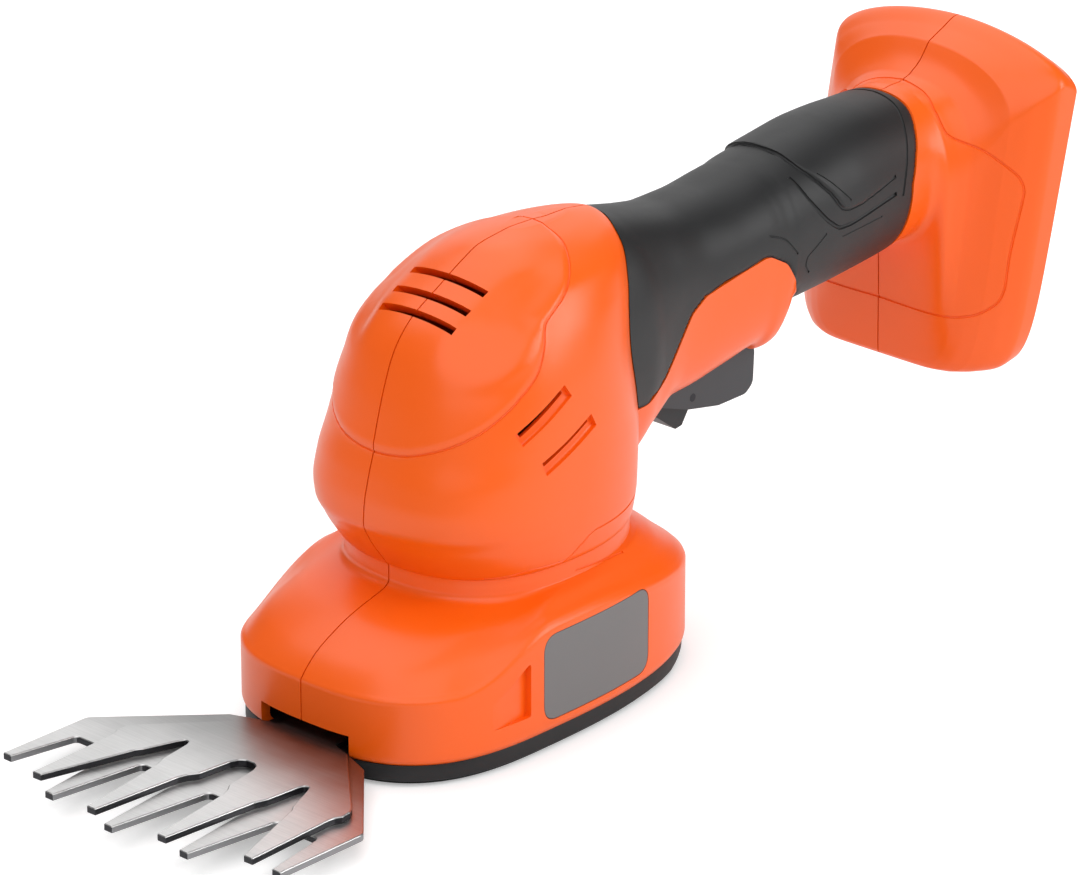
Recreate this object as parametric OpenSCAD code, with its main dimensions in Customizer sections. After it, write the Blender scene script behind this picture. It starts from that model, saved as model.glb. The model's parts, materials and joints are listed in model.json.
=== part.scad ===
// Cordless grass shears: a clamshell body with a rubber grip, a motor standing in its head,
// two gear stages and an eccentric under it, and a toothed blade that swings over a fixed one.
// Forward is -X, up is +Z and the left side is -Y. The blade pivot is at x = 0, y = 0,
// and the sole stands on z = 0.

/* [Blades] */
// Distance from the pivot to the tips of the fixed teeth
blade_reach = 120; // [112:1:128]
// Distance between neighbouring teeth
tooth_pitch = 25; // [24:0.25:26]
// Width of a tooth at its tip
tooth_tip_w = 3; // [2.4:0.2:3.8]
// Width of a tooth where the gap ends
tooth_root_w = 10.4; // [9:0.2:12]
// Distance from the pivot to the bottom of the gaps
tooth_root_x = 89; // [86:0.5:92]
// How much shorter the moving teeth are
upper_short = 1; // [0.5:0.25:3]
// Thickness of each blade
blade_t = 2; // [1.5:0.1:2.5]
// Air between the blades
blade_gap = 0.1; // [0.05:0.01:0.2]
// Radius of the blade pivot
pivot_r = 4; // [3:0.25:4.5]
// Swing of the moving blade each way from the middle, in degrees
swing_deg = 6; // [5:0.25:6.5]
// Where the moving blade stands as drawn, in degrees from the middle
rest_deg = 2.4; // [-3:0.1:3]

/* [Base] */
// Reach of the base ahead of the pivot
base_front = 50; // [47:0.5:54]
// Reach of the base behind the pivot
base_rear = 82; // [78:0.5:88]
// Width of the base
base_w = 86; // [82:0.5:94]
// Thickness of the sole
sole_h = 6.2; // [5:0.1:8]
// Depth of the blade seat in the sole
blade_seat = 0.7; // [0.4:0.1:1]
// Half width of the mouth that the blades come out of
mouth_half_w = 16.25; // [14:0.25:18]
// Height of that mouth above the sole
mouth_h = 6.8; // [6:0.1:8]

/* [Head and arm] */
// Height of the head over the ground
tower_h = 128.7; // [122:0.5:136]
// Length of the body behind the pivot
body_l = 223; // [214:1:232]
// Width of the grip
grip_w = 42; // [39:0.5:46]
// Width of the battery foot
foot_w = 80; // [76:0.5:84]
// Height of the foot's lower edge over the ground
foot_z = 48.2; // [44:0.5:54]
// Height of the foot
foot_h = 94.6; // [88:0.5:100]
// Thickness of the casing
wall = 3; // [2.4:0.1:3.6]
// Thickness of the rubber over the handle
grip_t = 1.6; // [1.2:0.1:2]
// Depth of the grooves in the rubber
groove_d = 0.8; // [0.5:0.1:1]

/* [Drive] */
// Distance from the blade pivot to the cam's axle
cam_x = 26; // [25:0.25:28]
// Radius of the eccentric
cam_r = 6; // [5.5:0.1:6.5]
// Module of the gears
gear_module = 0.8; // [0.75:0.01:0.85]
// Teeth on both pinions
pinion_teeth = 12; // [12:2:14]
// Teeth on both wheels
gear_teeth = 42; // [40:2:42]
// Face width of the gears
gear_face = 6; // [5:0.25:7]
// Radius of the two gear axles
axle_r = 2; // [1.75:0.05:2.2]
// Radius of the motor
motor_r = 18; // [16.5:0.25:19]
// Length of the motor can
motor_l = 52.5; // [48:0.5:56]
// Radius of the motor shaft
shaft_r = 1.6; // [1.25:0.05:2]

/* [Trigger and switch] */
// Width of the trigger
trigger_w = 15; // [13:0.25:16]
// Pull of the trigger, in degrees
trigger_deg = 6; // [4:0.5:7]
// Width of the lock lever in the trigger
lock_w = 9; // [7:0.25:10]
// Radius of the trigger's pin
trigger_pin_r = 2; // [1.5:0.1:2.5]
// Radius of the lock lever's pin
lock_pin_r = 1.2; // [1:0.05:1.5]
// Free height of the trigger's spring
spring_h = 12; // [10:0.5:14]
// Length of the switch
switch_l = 24; // [22:0.5:26]
// Width of the switch
switch_w = 11; // [9:0.5:13]
// Height of the switch
switch_h = 16; // [14:0.5:17]

/* [Fasteners] */
// Radius of the screws
screw_r = 1.5; // [1.25:0.05:1.75]
// Radius of the screw heads
screw_head_r = 3; // [2.6:0.1:3.3]
// Height of the screw heads
screw_head_h = 2.2; // [1.8:0.1:2.6]

/* [Battery bay] */
// Depth of the bay from the foot's back edge to its deck
bay_d = 14; // [12:0.5:16]
// Distance between the rails that guide the battery in
rail_gap = 70; // [67:0.5:72]
// Thickness of those rails
rail_t = 4; // [3:0.25:5]
// Width of the contact block
block_w = 32; // [28:0.5:36]
// Height of the contact block
block_h = 16; // [14:0.5:18]

/* [Hidden] */

// Fits and small sizes
cut = 1;
clear = 0.3;
running = 0.05;
far = 2 * body_l;
tooth_play = 0.12;
orange = [1, 0.36, 0.08];
charcoal = [0.19, 0.19, 0.2];
black = [0.07, 0.07, 0.08];
steel = [0.74, 0.75, 0.76];
brass = [0.78, 0.62, 0.28];
$fn = 48;

// Heights of the drive, from the sole up
blade_z = sole_h - blade_seat;
upper_z = blade_z + blade_t + blade_gap;
washer_t = 1.5;
washer_z = upper_z + blade_t + blade_gap;
boss_z = washer_z + washer_t;
gear_air = 1;
cam_z = blade_z + blade_t + clear;
cam_gear_z = boss_z + gear_air;
bridge_t = 2.5;
bridge_z = cam_gear_z + gear_face + gear_air;
bridge_top = bridge_z + bridge_t;
wheel_z = bridge_top + gear_air;
plate_t = 3;
plate_z = wheel_z + gear_face + screw_head_h + clear;
motor_z = plate_z + plate_t;
can_t = 1.5;
cap_z = motor_z + motor_l;
cap_h = 6;
cap_top = cap_z + cap_h;

// Places of the drive
addendum_share = 0.85;
pinion_tip_r = gear_module * (pinion_teeth / 2 + addendum_share);
gear_cd = gear_module * (pinion_teeth + gear_teeth) / 2;
idler_x = cam_x + gear_cd;
cam_throw = cam_x * sin(swing_deg);
cam_phase = asin(sin(rest_deg) / sin(swing_deg));
boss_rim = 2.8;
pivot_boss_r = pivot_r + boss_rim;
leg_r = 4;
leg_front_x = 4;
leg_front_share = 0.3023;
leg_front_y = base_w * leg_front_share;
gear_tip_r = gear_module * (gear_teeth / 2 + addendum_share);
leg_rear_x = idler_x + pinion_tip_r;
leg_rear_y = gear_tip_r + leg_r + gear_air;
legs = [[leg_front_x, leg_front_y], [leg_front_x, -leg_front_y],
        [leg_rear_x, leg_rear_y], [leg_rear_x, -leg_rear_y]];
motor_hole_share = 0.7;
motor_hole_y = motor_hole_share * motor_r;
foot_seat = 2.2;

// Smooth curves through a table: harmonic slopes, so that nothing overshoots
function mono(a, b, c) = (b - a) * (c - b) <= 0 ? 0 : 2 * (b - a) * (c - b) / (c - a);
function slope(t, k, j) = k == 0 ? t[1][j] - t[0][j]
    : k == len(t) - 1 ? t[k][j] - t[k - 1][j] : mono(t[k - 1][j], t[k][j], t[k + 1][j]);
function hermite(a, b, ma, mb, f) = a * (1 + 2 * f) * pow(1 - f, 2) + b * f * f * (3 - 2 * f)
    + ma * f * pow(1 - f, 2) - mb * f * f * (1 - f);
function between(t, u) = let (k = min(floor(u), len(t) - 2), f = u - k)
    [for (j = [0:len(t[0]) - 1]) hermite(t[k][j], t[k + 1][j], slope(t, k, j), slope(t, k + 1, j), f)];
function dense(t, steps) = [for (i = [0:steps * (len(t) - 1)]) between(t, i / steps)];
function ease(a, lo, hi) = let (f = max(0, min(1, (a - lo) / (hi - lo)))) f * f * (3 - 2 * f);

// One section: an outer point, an inner point, the half width, where it is widest, two exponents
// and a lift that raises the flanks of the base over its front
lift_start_share = 0.14;
lift_end_share = 0.40;
lift_fall_share = 0.62;
lift_mid_share = 0.5;
function lift_of(a) = ease(a, lift_start_share, lift_end_share)
    * (1 - lift_fall_share * ease(a, lift_mid_share, 1));
function place(row, th) = let (
    c = cos(th), s = abs(sin(th)), p = c >= 0 ? row[6] : row[7], q = pow(abs(c), 2 / p),
    a = c >= 0 ? row[5] * (1 - q) : row[5] + (1 - row[5]) * q)
    [row[0] + (row[2] - row[0]) * a, -sign(sin(th)) * row[4] * pow(s, 2 / p),
     row[1] + (row[3] - row[1]) * a + row[8] * lift_of(a)];
around = 28;
function ring(row) = [for (i = [0:around - 1]) place(row, 360 * i / around)];

// Closed skin through a list of sections
module loft(rows) {
    n = around;
    last = len(rows) - 1;
    points = [for (row = rows) each ring(row)];
    sides = [for (k = [0:last - 1], i = [0:n - 1]) let (a = k * n + i, b = k * n + (i + 1) % n)
             each [[a, b + n, b], [a, a + n, b + n]]];
    caps = [[for (i = [0:n - 1]) i], [for (i = [n - 1:-1:0]) last * n + i]];
    polyhedron(points, concat(sides, caps), convexity = 10);
}

// Base, neck and head, as shares: height of the tower, front and rear reach, half width,
// widest place, two exponents, lift of the flanks, then how far the inner skin moves in and down
tower_shares = [
    [0, 0.972, 0.988, 0.981, 0.38, 2.8, 2.6, 0, 1, 0],
    [0.015, 1, 1, 1, 0.38, 2.8, 2.6, 0, 1, 0],
    [0.148, 1, 1, 1, 0.38, 2.8, 2.6, 0.084, 1, 0],
    [0.159, 0.984, 0.988, 0.977, 0.38, 2.75, 2.6, 0.086, 0.7, 0.7],
    [0.1984, 0.884, 0.933, 0.921, 0.39, 2.7, 2.5, 0.062, 0.5, 0.9],
    [0.2482, 0.644, 0.866, 0.856, 0.42, 2.6, 2.3, 0.031, 0.5, 0.9],
    [0.2841, 0.356, 0.799, 0.795, 0.46, 2.5, 2.2, 0.007, 0.8, 0.8],
    [0.2955, 0.332, 0.78, 0.781, 0.46, 2.5, 2.1, 0.001, 1, 0],
    [0.3298, 0.332, 0.78, 0.781, 0.46, 2.5, 2.1, 0, 1, 0],
    [0.3412, 0.352, 0.785, 0.805, 0.46, 2.5, 2.1, 0, 0.9, -0.4],
    [0.4098, 0.472, 0.799, 0.842, 0.48, 2.5, 2.1, 0, 0.9, -0.3],
    [0.4522, 0.518, 0.799, 0.851, 0.49, 2.65, 2.1, 0, 1, 0],
    [0.4922, 0.512, 0.799, 0.856, 0.49, 2.75, 2.1, 0, 1, 0],
    [0.5478, 0.482, 0.799, 0.853, 0.49, 2.7, 2.1, 0, 1, 0],
    [0.618, 0.43, 0.785, 0.842, 0.49, 2.5, 2.1, 0, 1, 0],
    [0.7322, 0.35, 0.768, 0.795, 0.49, 2.35, 2.1, 0, 1, 0.2],
    [0.8163, 0.266, 0.785, 0.733, 0.48, 2.25, 2.1, 0, 0.9, 0.4],
    [0.8743, 0.144, 0.799, 0.67, 0.46, 2.2, 2.1, 0, 0.8, 0.6],
    [0.9273, -0.078, 0.793, 0.581, 0.44, 2.2, 2.1, 0, 0.7, 0.8],
    [0.9657, -0.25, 0.78, 0.419, 0.44, 2.3, 2.1, 0, 0.5, 0.9],
    [0.9878, -0.376, 0.744, 0.256, 0.45, 2.2, 2, 0, 0.4, 1],
    [1, -0.6, 0.64, 0.093, 0.45, 2.2, 2, 0, 0.3, 1]];
side_share = 0.95;
function tower_keys(inset) = [for (t = tower_shares) let (
    z = sole_h + (tower_h - sole_h) * t[0] - inset * t[9],
    front = -base_front * t[1] + inset * t[8],
    rear = base_rear * t[2] - inset * t[8])
    [front, z, rear, z, base_w / 2 * t[3] - inset * t[8] * side_share, t[4], t[5], t[6], tower_h * t[7]]];
function lowered(rows, by) = concat([[for (j = [0:len(rows[0]) - 1])
    rows[0][j] - (j == 1 || j == 3 ? by : 0)]], rows);
module tower_solid() loft(dense(tower_keys(0), 2));
module tower_hollow(inset) loft(lowered(dense(tower_keys(inset), 1), cut));

// Handle, as shares: top and bottom points on the body's length and the head's height,
// half width, widest place, two exponents
handle_shares = [
    [0.197, 0.990, 0.233, 0.373, 1.243, 0.43, 2.2, 2.0],
    [0.260, 0.985, 0.287, 0.392, 1.190, 0.43, 2.2, 2.0],
    [0.296, 0.972, 0.311, 0.434, 1.105, 0.42, 2.2, 2.2],
    [0.327, 0.960, 0.327, 0.475, 1.048, 0.41, 2.2, 2.6],
    [0.359, 0.948, 0.359, 0.519, 0.995, 0.39, 2.2, 3.0],
    [0.408, 0.937, 0.408, 0.530, 0.957, 0.38, 2.2, 3.2],
    [0.462, 0.938, 0.462, 0.546, 0.948, 0.37, 2.2, 3.2],
    [0.516, 0.949, 0.516, 0.563, 0.952, 0.38, 2.2, 3.2],
    [0.534, 0.954, 0.534, 0.546, 0.957, 0.38, 2.2, 3.0],
    [0.546, 0.957, 0.546, 0.545, 0.961, 0.39, 2.2, 2.8],
    [0.556, 0.960, 0.556, 0.560, 0.964, 0.40, 2.2, 2.6],
    [0.566, 0.963, 0.566, 0.602, 0.967, 0.42, 2.2, 2.4],
    [0.583, 0.968, 0.583, 0.619, 0.972, 0.44, 2.2, 2.3],
    [0.607, 0.975, 0.607, 0.624, 0.982, 0.46, 2.2, 2.3],
    [0.637, 0.983, 0.637, 0.626, 0.995, 0.48, 2.2, 2.2],
    [0.695, 0.997, 0.695, 0.634, 1.000, 0.49, 2.2, 2.2],
    [0.753, 1.004, 0.753, 0.644, 1.000, 0.49, 2.2, 2.2],
    [0.812, 1.002, 0.812, 0.660, 0.976, 0.49, 2.2, 2.2],
    [0.830, 1.000, 0.823, 0.645, 1.000, 0.49, 2.2, 2.3]];
// Foot, as shares: top and bottom points on the body's length and the foot's height,
// half width, widest place, two exponents, then how far the inner skin moves back
foot_shares = [
    [0.843, 0.854, 0.827, 0.209, 0.563, 0.45, 2.2, 3.0, 1.0],
    [0.857, 0.854, 0.828, 0.061, 0.588, 0.36, 2.4, 4.6, 1.0],
    [0.879, 0.866, 0.829, 0.012, 0.640, 0.29, 2.4, 7.0, 1.0],
    [0.897, 0.894, 0.833, 0.000, 0.710, 0.24, 2.3, 8.0, 1.0],
    [0.917, 0.949, 0.843, -0.006, 0.810, 0.19, 2.1, 9.0, 0.8],
    [0.942, 0.974, 0.860, -0.008, 0.930, 0.15, 1.9, 9.0, 0.5],
    [0.972, 1.000, 0.883, -0.008, 1.020, 0.13, 1.85, 9.0, 0.2],
    [1.000, 0.958, 0.904, 0.002, 1.025, 0.12, 1.85, 9.0, 0.0]];
back_share = 0.5;
function arm_keys(inset) = concat(
    [for (t = handle_shares) [body_l * t[0], tower_h * t[1] - inset, body_l * t[2], tower_h * t[3] + inset,
                              grip_w / 2 * t[4] - inset, t[5], t[6], t[7], 0]],
    [for (t = foot_shares) [body_l * t[0] + inset * back_share * t[8], foot_z + foot_h * t[1] - inset,
                            body_l * t[2] + inset * t[8], foot_z + foot_h * t[3] + inset,
                            foot_w / 2 * t[4] - inset, t[5], t[6], t[7], 0]]);
function run_out(rows, by) = [for (i = [0:len(rows) - 1]) [for (j = [0:len(rows[0]) - 1])
    rows[i][j] + (i == len(rows) - 1 && (j == 0 || j == 2) ? by : 0)]];
module arm_hollow(inset) loft(run_out(dense(arm_keys(inset), 1), 2 * wall));
// The skin under the rubber keeps the sections of the outside, so that the two lie parallel
module arm_core(inset) loft(dense(arm_keys(inset), 2));

// The foot's back plane, with Z up along it and X out of it
foot_last = arm_keys(0)[len(arm_keys(0)) - 1];
foot_tilt = atan((foot_last[0] - foot_last[2]) / (foot_last[1] - foot_last[3]));
foot_slant = norm([foot_last[0] - foot_last[2], foot_last[1] - foot_last[3]]);
module on_foot() translate([foot_last[2], 0, foot_last[3]]) rotate([0, foot_tilt, 0]) children();
module arm_solid() difference() {
    loft(run_out(dense(arm_keys(0), 2), wall));
    on_foot() translate([0, -far / 2, -far / 2]) cube(far);
}

// Side outline of the rubber, as shares of the body's length and the head's height
grip_shares = [
    [0.200, 1.060], [0.827, 1.060], [0.821, 0.983], [0.806, 0.945], [0.789, 0.890], [0.779, 0.840],
    [0.772, 0.560], [0.5955, 0.560], [0.588, 0.640],
    [0.580, 0.678], [0.568, 0.699], [0.541, 0.768], [0.508, 0.800], [0.466, 0.789], [0.390, 0.768],
    [0.362, 0.742], [0.330, 0.672], [0.308, 0.622], [0.272, 0.590], [0.200, 0.590]];
function side(shares) = [for (s = shares) [body_l * s[0], tower_h * s[1]]];
// Grooves in the rubber: pairs of ends on the side
groove_w = 1.4;
groove_shares = [
    [[0.565, 0.960], [0.640, 0.800]], [[0.640, 0.800], [0.668, 0.775]], [[0.668, 0.775], [0.740, 0.835]],
    [[0.590, 0.965], [0.660, 0.822]], [[0.660, 0.822], [0.676, 0.805]], [[0.676, 0.805], [0.735, 0.862]],
    [[0.634, 0.735], [0.6135, 0.708]], [[0.6135, 0.708], [0.6083, 0.668]], [[0.593, 0.703], [0.573, 0.732]]];
module upright(shape_h) rotate([90, 0, 0]) linear_extrude(shape_h, center = true) children();
module slot(ends, r, h) hull() for (e = ends) translate([body_l * e[0], 0, tower_h * e[1]])
    rotate([90, 0, 0]) cylinder(r = r, h = h, center = true, $fn = 12);
module grip_skin() difference() {
    intersection() {
        arm_solid();
        upright(far) polygon(side(grip_shares));
    }
    arm_core(grip_t);
    tower_solid();
}
module grip_room() difference() {
    upright(far) polygon(side(grip_shares));
    arm_core(grip_t);
    tower_solid();
}
module left_half() intersection() {
    children();
    translate([-far / 2, -far, -far / 2]) cube(far);
}
module right_half() intersection() {
    children();
    translate([-far / 2, 0, -far / 2]) cube(far);
}
module grip_half() difference() {
    grip_skin();
    difference() {
        for (g = groove_shares) slot(g, groove_w / 2, far);
        arm_core(groove_d);
    }
    screw_ways();
}
module grip_left() color(charcoal) left_half() grip_half();
module grip_right() color(charcoal) right_half() grip_half();

// Bare plates on the flanks of the base, let into the wall
badge_t = 1;
badge_r = 5;
badge_front_share = -0.027;
badge_rear_share = 0.512;
badge_low_share = 0.0245;
badge_high_share = 0.215;
wall_row = tower_keys(0)[1];
function wall_plan(inset) = [for (p = ring([wall_row[0] + inset, 0, wall_row[2] - inset, 0,
                             wall_row[4] - inset, wall_row[5], wall_row[6], wall_row[7], 0])) [p[0], p[1]]];
badge_x0 = base_rear * badge_front_share;
badge_x1 = base_rear * badge_rear_share;
badge_z0 = sole_h + tower_h * badge_low_share;
badge_z1 = sole_h + tower_h * badge_high_share;
module badge_shape(proud) intersection() {
    linear_extrude(far) difference() {
        polygon(wall_plan(-proud));
        polygon(wall_plan(badge_t));
    }
    translate([(badge_x0 + badge_x1) / 2, 0, (badge_z0 + badge_z1) / 2]) upright(far)
        offset(badge_r) square([badge_x1 - badge_x0 - 2 * badge_r, badge_z1 - badge_z0 - 2 * badge_r],
                               center = true);
}
module badge_left() color("dimgray") left_half() badge_shape(0);
module badge_right() color("dimgray") right_half() badge_shape(0);

// Places along the body, as shares of its length and the head's height
function along(share) = body_l * share;
function up(share) = tower_h * share;

// Trigger: pivot, outline and the lock lever in its front
trigger_x_share = 0.390;
trigger_z_share = 0.590;
trigger_top_share = 0.632;
trigger_x = along(trigger_x_share);
trigger_z = up(trigger_z_share);
trigger_top = up(trigger_top_share);
trigger_shares = [[0.374, 0.495], [0.423, 0.466], [0.479, 0.447], [0.530, 0.448], [0.544, 0.466],
                  [0.546, 0.538], [0.538, 0.632], [0.380, 0.632], [0.371, 0.600], [0.372, 0.540]];
lock_x_share = 0.4305;
lock_z_share = 0.490;
lock_x = along(lock_x_share);
lock_z = up(lock_z_share);
lock_shares = [[0.3775, 0.466], [0.414, 0.419], [0.426, 0.422], [0.443, 0.466], [0.443, 0.505],
               [0.436, 0.516], [0.420, 0.512], [0.384, 0.486]];
lock_slot_shares = [[0.365, 0.30], [0.458, 0.30], [0.458, 0.536], [0.365, 0.536]];
mouth_shares = [0.366, 0.551];
mouth_x0 = along(mouth_shares[0]);
mouth_x1 = along(mouth_shares[1]);
pin_wall = 2.5;
trigger_boss_r = trigger_pin_r + pin_wall;
trigger_side = 0.5;
module across(x, z, r, y0, y1) translate([x, y0, z]) rotate([-90, 0, 0]) cylinder(r = r, h = y1 - y0);
module trigger() color([0.24, 0.25, 0.26]) difference() {
    upright(trigger_w) polygon(side(trigger_shares));
    upright(lock_w + 2 * clear) polygon(side(lock_slot_shares));
    across(trigger_x, trigger_z, trigger_pin_r + running, -trigger_w, trigger_w);
    across(lock_x, lock_z, lock_pin_r, -trigger_w, trigger_w);
}
module lock_lever() color(black) difference() {
    upright(lock_w) polygon(side(lock_shares));
    across(lock_x, lock_z, lock_pin_r + running, -lock_w, lock_w);
}
module lock_pin() color(steel) across(lock_x, lock_z, lock_pin_r, -trigger_w / 2, trigger_w / 2);
trigger_pin_l = 26;
module trigger_pin() color(steel)
    across(trigger_x, trigger_z, trigger_pin_r, -trigger_pin_l / 2, trigger_pin_l / 2);

// Trigger spring: one round wire along a helix, flat on its two seats
spring_x_share = 0.425;
spring_x = along(spring_x_share);
spring_r = 4;
spring_wire_r = 0.5;
spring_turns = 6;
spring_steps = 8;
spring_z0 = trigger_top + clear + spring_wire_r;
spring_z1 = trigger_top + spring_h - clear - spring_wire_r;
seat_z = trigger_top + spring_h;
seat_t = 2.5;
seat_l = 11;
function tube_points(path, r, n) = [for (k = [0:len(path) - 1]) let (
    d = path[min(k + 1, len(path) - 1)] - path[max(k - 1, 0)],
    flat = abs(d[1]) > 0.9 * norm(d) ? [0, 0, 1] : [0, 1, 0],
    u = cross(d, flat) / norm(cross(d, flat)), v = cross(d, u) / norm(d))
    for (i = [0:n - 1]) path[k] + r * (cos(360 * i / n) * u + sin(360 * i / n) * v)];
module tube(path, r, n) {
    last = len(path) - 1;
    sides = [for (k = [0:last - 1], i = [0:n - 1]) let (a = k * n + i, b = k * n + (i + 1) % n)
             each [[a, b, b + n], [a, b + n, a + n]]];
    caps = [[for (i = [n - 1:-1:0]) i], [for (i = [0:n - 1]) last * n + i]];
    polyhedron(tube_points(path, r, n), concat(sides, caps), convexity = 10);
}
module trigger_spring() color(steel) tube([for (i = [0:spring_turns * spring_steps]) let (
    f = i / (spring_turns * spring_steps), th = 360 * i / spring_steps)
    [spring_x + spring_r * cos(th), spring_r * sin(th), spring_z0 + (spring_z1 - spring_z0) * f]],
    spring_wire_r, 6);

// Switch over the trigger
switch_x_share = 0.520;
plunger_x_share = 0.502;
switch_x = along(switch_x_share);
plunger_x = along(plunger_x_share);
plunger_r = 2;
plunger_travel = (plunger_x - trigger_x) * tan(trigger_deg);
plunger_gap = 0.4;
switch_z = trigger_top + plunger_gap + plunger_travel + gear_air;
plunger_in = 6;
tab_t = 0.8;
tab_w = 4.8;
tab_l = 6;
module switch_body() color(black) difference() {
    translate([switch_x - switch_l / 2, -switch_w / 2, switch_z]) cube([switch_l, switch_w, switch_h]);
    translate([plunger_x, 0, switch_z - cut])
        cylinder(r = plunger_r + running, h = cut + plunger_in + plunger_travel + clear);
}
module switch_plunger() color("firebrick") translate([plunger_x, 0, trigger_top + plunger_gap])
    cylinder(r = plunger_r, h = switch_z + plunger_in - trigger_top - plunger_gap);
tab_share = 0.71;
tab_z = switch_z + switch_h * tab_share;
module switch_terminals() color(brass) {
    translate([switch_x + switch_l / 2, -tab_w / 2, tab_z]) cube([tab_l, tab_w, tab_t]);
    translate([switch_x - switch_l / 2 - tab_l, -tab_w / 2, tab_z]) cube([tab_l, tab_w, tab_t]);
}

// Contact block, let through the deck of the battery bay
deck_t = 3;
block_proud = 3;
block_back_share = 0.45;
contact_share = 0.6;
block_z = foot_slant / 2;
block_front = bay_d + deck_t + block_proud;
block_back = block_back_share * bay_d;
contact_t = 0.8;
contact_l = contact_share * block_back;
contact_h = contact_share * block_h;
contact_pitch = block_w / 4;
module block_outline(extra) translate([-block_front, -block_w / 2 - extra, block_z - block_h / 2 - extra])
    cube([block_front - block_back, block_w + 2 * extra, block_h + 2 * extra]);
module terminal_block() color(black) on_foot() block_outline(0);
module battery_contacts() color(brass) on_foot() for (k = [-1:1])
    translate([-block_back, k * contact_pitch - contact_t / 2, block_z - contact_h / 2])
        cube([contact_l, contact_t, contact_h]);

// Screws that hold the halves, in the head and in the handle: places as shares of the base's reach
// or the body's length and of the head's height, then the depth of the head as a share of the half width
post_wall = 1.6;
boss_r = screw_head_r + post_wall;
head_screw_shares = [[-0.4098, 0.1653, 0.507], [0.8693, 0.1807, 0.407],
                     [0.5556, 0.9053, 0.347], [0.7106, 0.4703, 0.347]];
handle_screw_shares = [[0.3773, 0.7807, 0.247], [0.6723, 0.8007, 0.247], [0.8653, 0.9170, 0.247]];
screws = concat([for (t = head_screw_shares) [base_rear * t[0], up(t[1]), base_w / 2 * t[2]]],
                [for (t = handle_screw_shares) [along(t[0]), up(t[1]), base_w / 2 * t[2]]]);
screw_in = 12;
module casing_screws() color(steel) for (s = screws) {
    across(s[0], s[1], screw_r, -screw_in, s[2]);
    across(s[0], s[1], screw_head_r, s[2], s[2] + screw_head_h);
}

// Casing: a shell with the mouth, the trigger's slot, vents, screw posts, ribs and the battery bay
module body_solid() {
    tower_solid();
    arm_solid();
}
vent_r = 1.3;
vent_half_w = 13.5;
vent_back_share = 0.16;
vent_u_shares = [0.846, 0.822, 0.799];
side_vent_shares = [[[-0.0272, 0.682], [0.2094, 0.740]], [[0.0707, 0.602], [0.3046, 0.662]]];
vent_tilt_deg = 40;
module top_vents() for (share = vent_u_shares) {
    row = between(tower_keys(0), share * (len(tower_shares) - 1));
    for (s = [-1, 1]) hull() for (f = [0, 1])
        translate([row[0] + f * vent_back_share * vent_half_w, s * f * vent_half_w, row[1]])
            rotate([0, -vent_tilt_deg, 0]) cylinder(r = vent_r, h = 4 * wall, center = true, $fn = 12);
}
module side_vents() for (v = side_vent_shares, s = [-1, 1]) hull() for (e = v)
    translate([base_rear * e[0], s * base_w / 2, up(e[1])]) rotate([90, 0, 0])
        cylinder(r = vent_r, h = base_w / 3, center = true, $fn = 12);
tongue_w = 26;
tongue_h = 4.6;
tongue_t = 6.5;
rail_in = 2;
rail_rise_shares = [0.34, 0.66];
module bay_parts() on_foot() {
    translate([-bay_d - deck_t, -foot_w / 2, 0]) cube([deck_t, foot_w, foot_slant]);
    for (s = [-1, 1], share = rail_rise_shares)
        translate([-bay_d - deck_t, s * (rail_gap / 2 + foot_w / 4) - foot_w / 4,
                   share * foot_slant - rail_t / 2])
            cube([bay_d + deck_t - rail_in, foot_w / 2, rail_t]);
}
module posts() {
    for (s = screws) across(s[0], s[1], boss_r, -far, far);
    for (s = [-1, 1]) across(trigger_x, trigger_z, trigger_boss_r,
                             s > 0 ? trigger_w / 2 + trigger_side : -far,
                             s > 0 ? far : -trigger_w / 2 - trigger_side);
}
module ribs() {
    translate([spring_x - seat_l / 2, -far / 2, seat_z]) cube([seat_l, far, seat_t]);
    for (s = [-1, 1])
        translate([switch_x - switch_l / 4, s * (switch_w / 2 + far / 4) - far / 4, switch_z + clear])
        cube([switch_l / 2, far / 2, switch_h - 2 * clear]);
}
module hollow() difference() {
    union() {
        tower_hollow(wall);
        arm_hollow(wall);
    }
    bay_parts();
    posts();
    ribs();
}
module screw_ways() for (s = screws) {
    across(s[0], s[1], screw_r + clear / 3, -screw_in - clear, s[2] + cut);
    across(s[0], s[1], screw_head_r + clear, s[2], far);
}
module casing_half() difference() {
    union() {
        difference() {
            body_solid();
            hollow();
        }
        on_foot() translate([-cut - tongue_t, -tongue_w / 2, -tongue_h])
            cube([tongue_t, tongue_w, tongue_h + wall]);
    }
    grip_room();
    badge_shape(cut);
    translate([-far, -mouth_half_w, sole_h - cut])
        cube([far - base_front / 2, 2 * mouth_half_w, mouth_h + cut]);
    translate([mouth_x0, -trigger_w / 2 - trigger_side, 0])
        cube([mouth_x1 - mouth_x0, trigger_w + 2 * trigger_side, trigger_top]);
    on_foot() block_outline(clear / 3);
    across(trigger_x, trigger_z, trigger_pin_r + clear / 3,
           -trigger_pin_l / 2 - clear, trigger_pin_l / 2 + clear);
    screw_ways();
    top_vents();
    side_vents();
}
module casing_left() color(orange) left_half() casing_half($fn = 24);
module casing_right() color(orange) right_half() casing_half($fn = 24);

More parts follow.
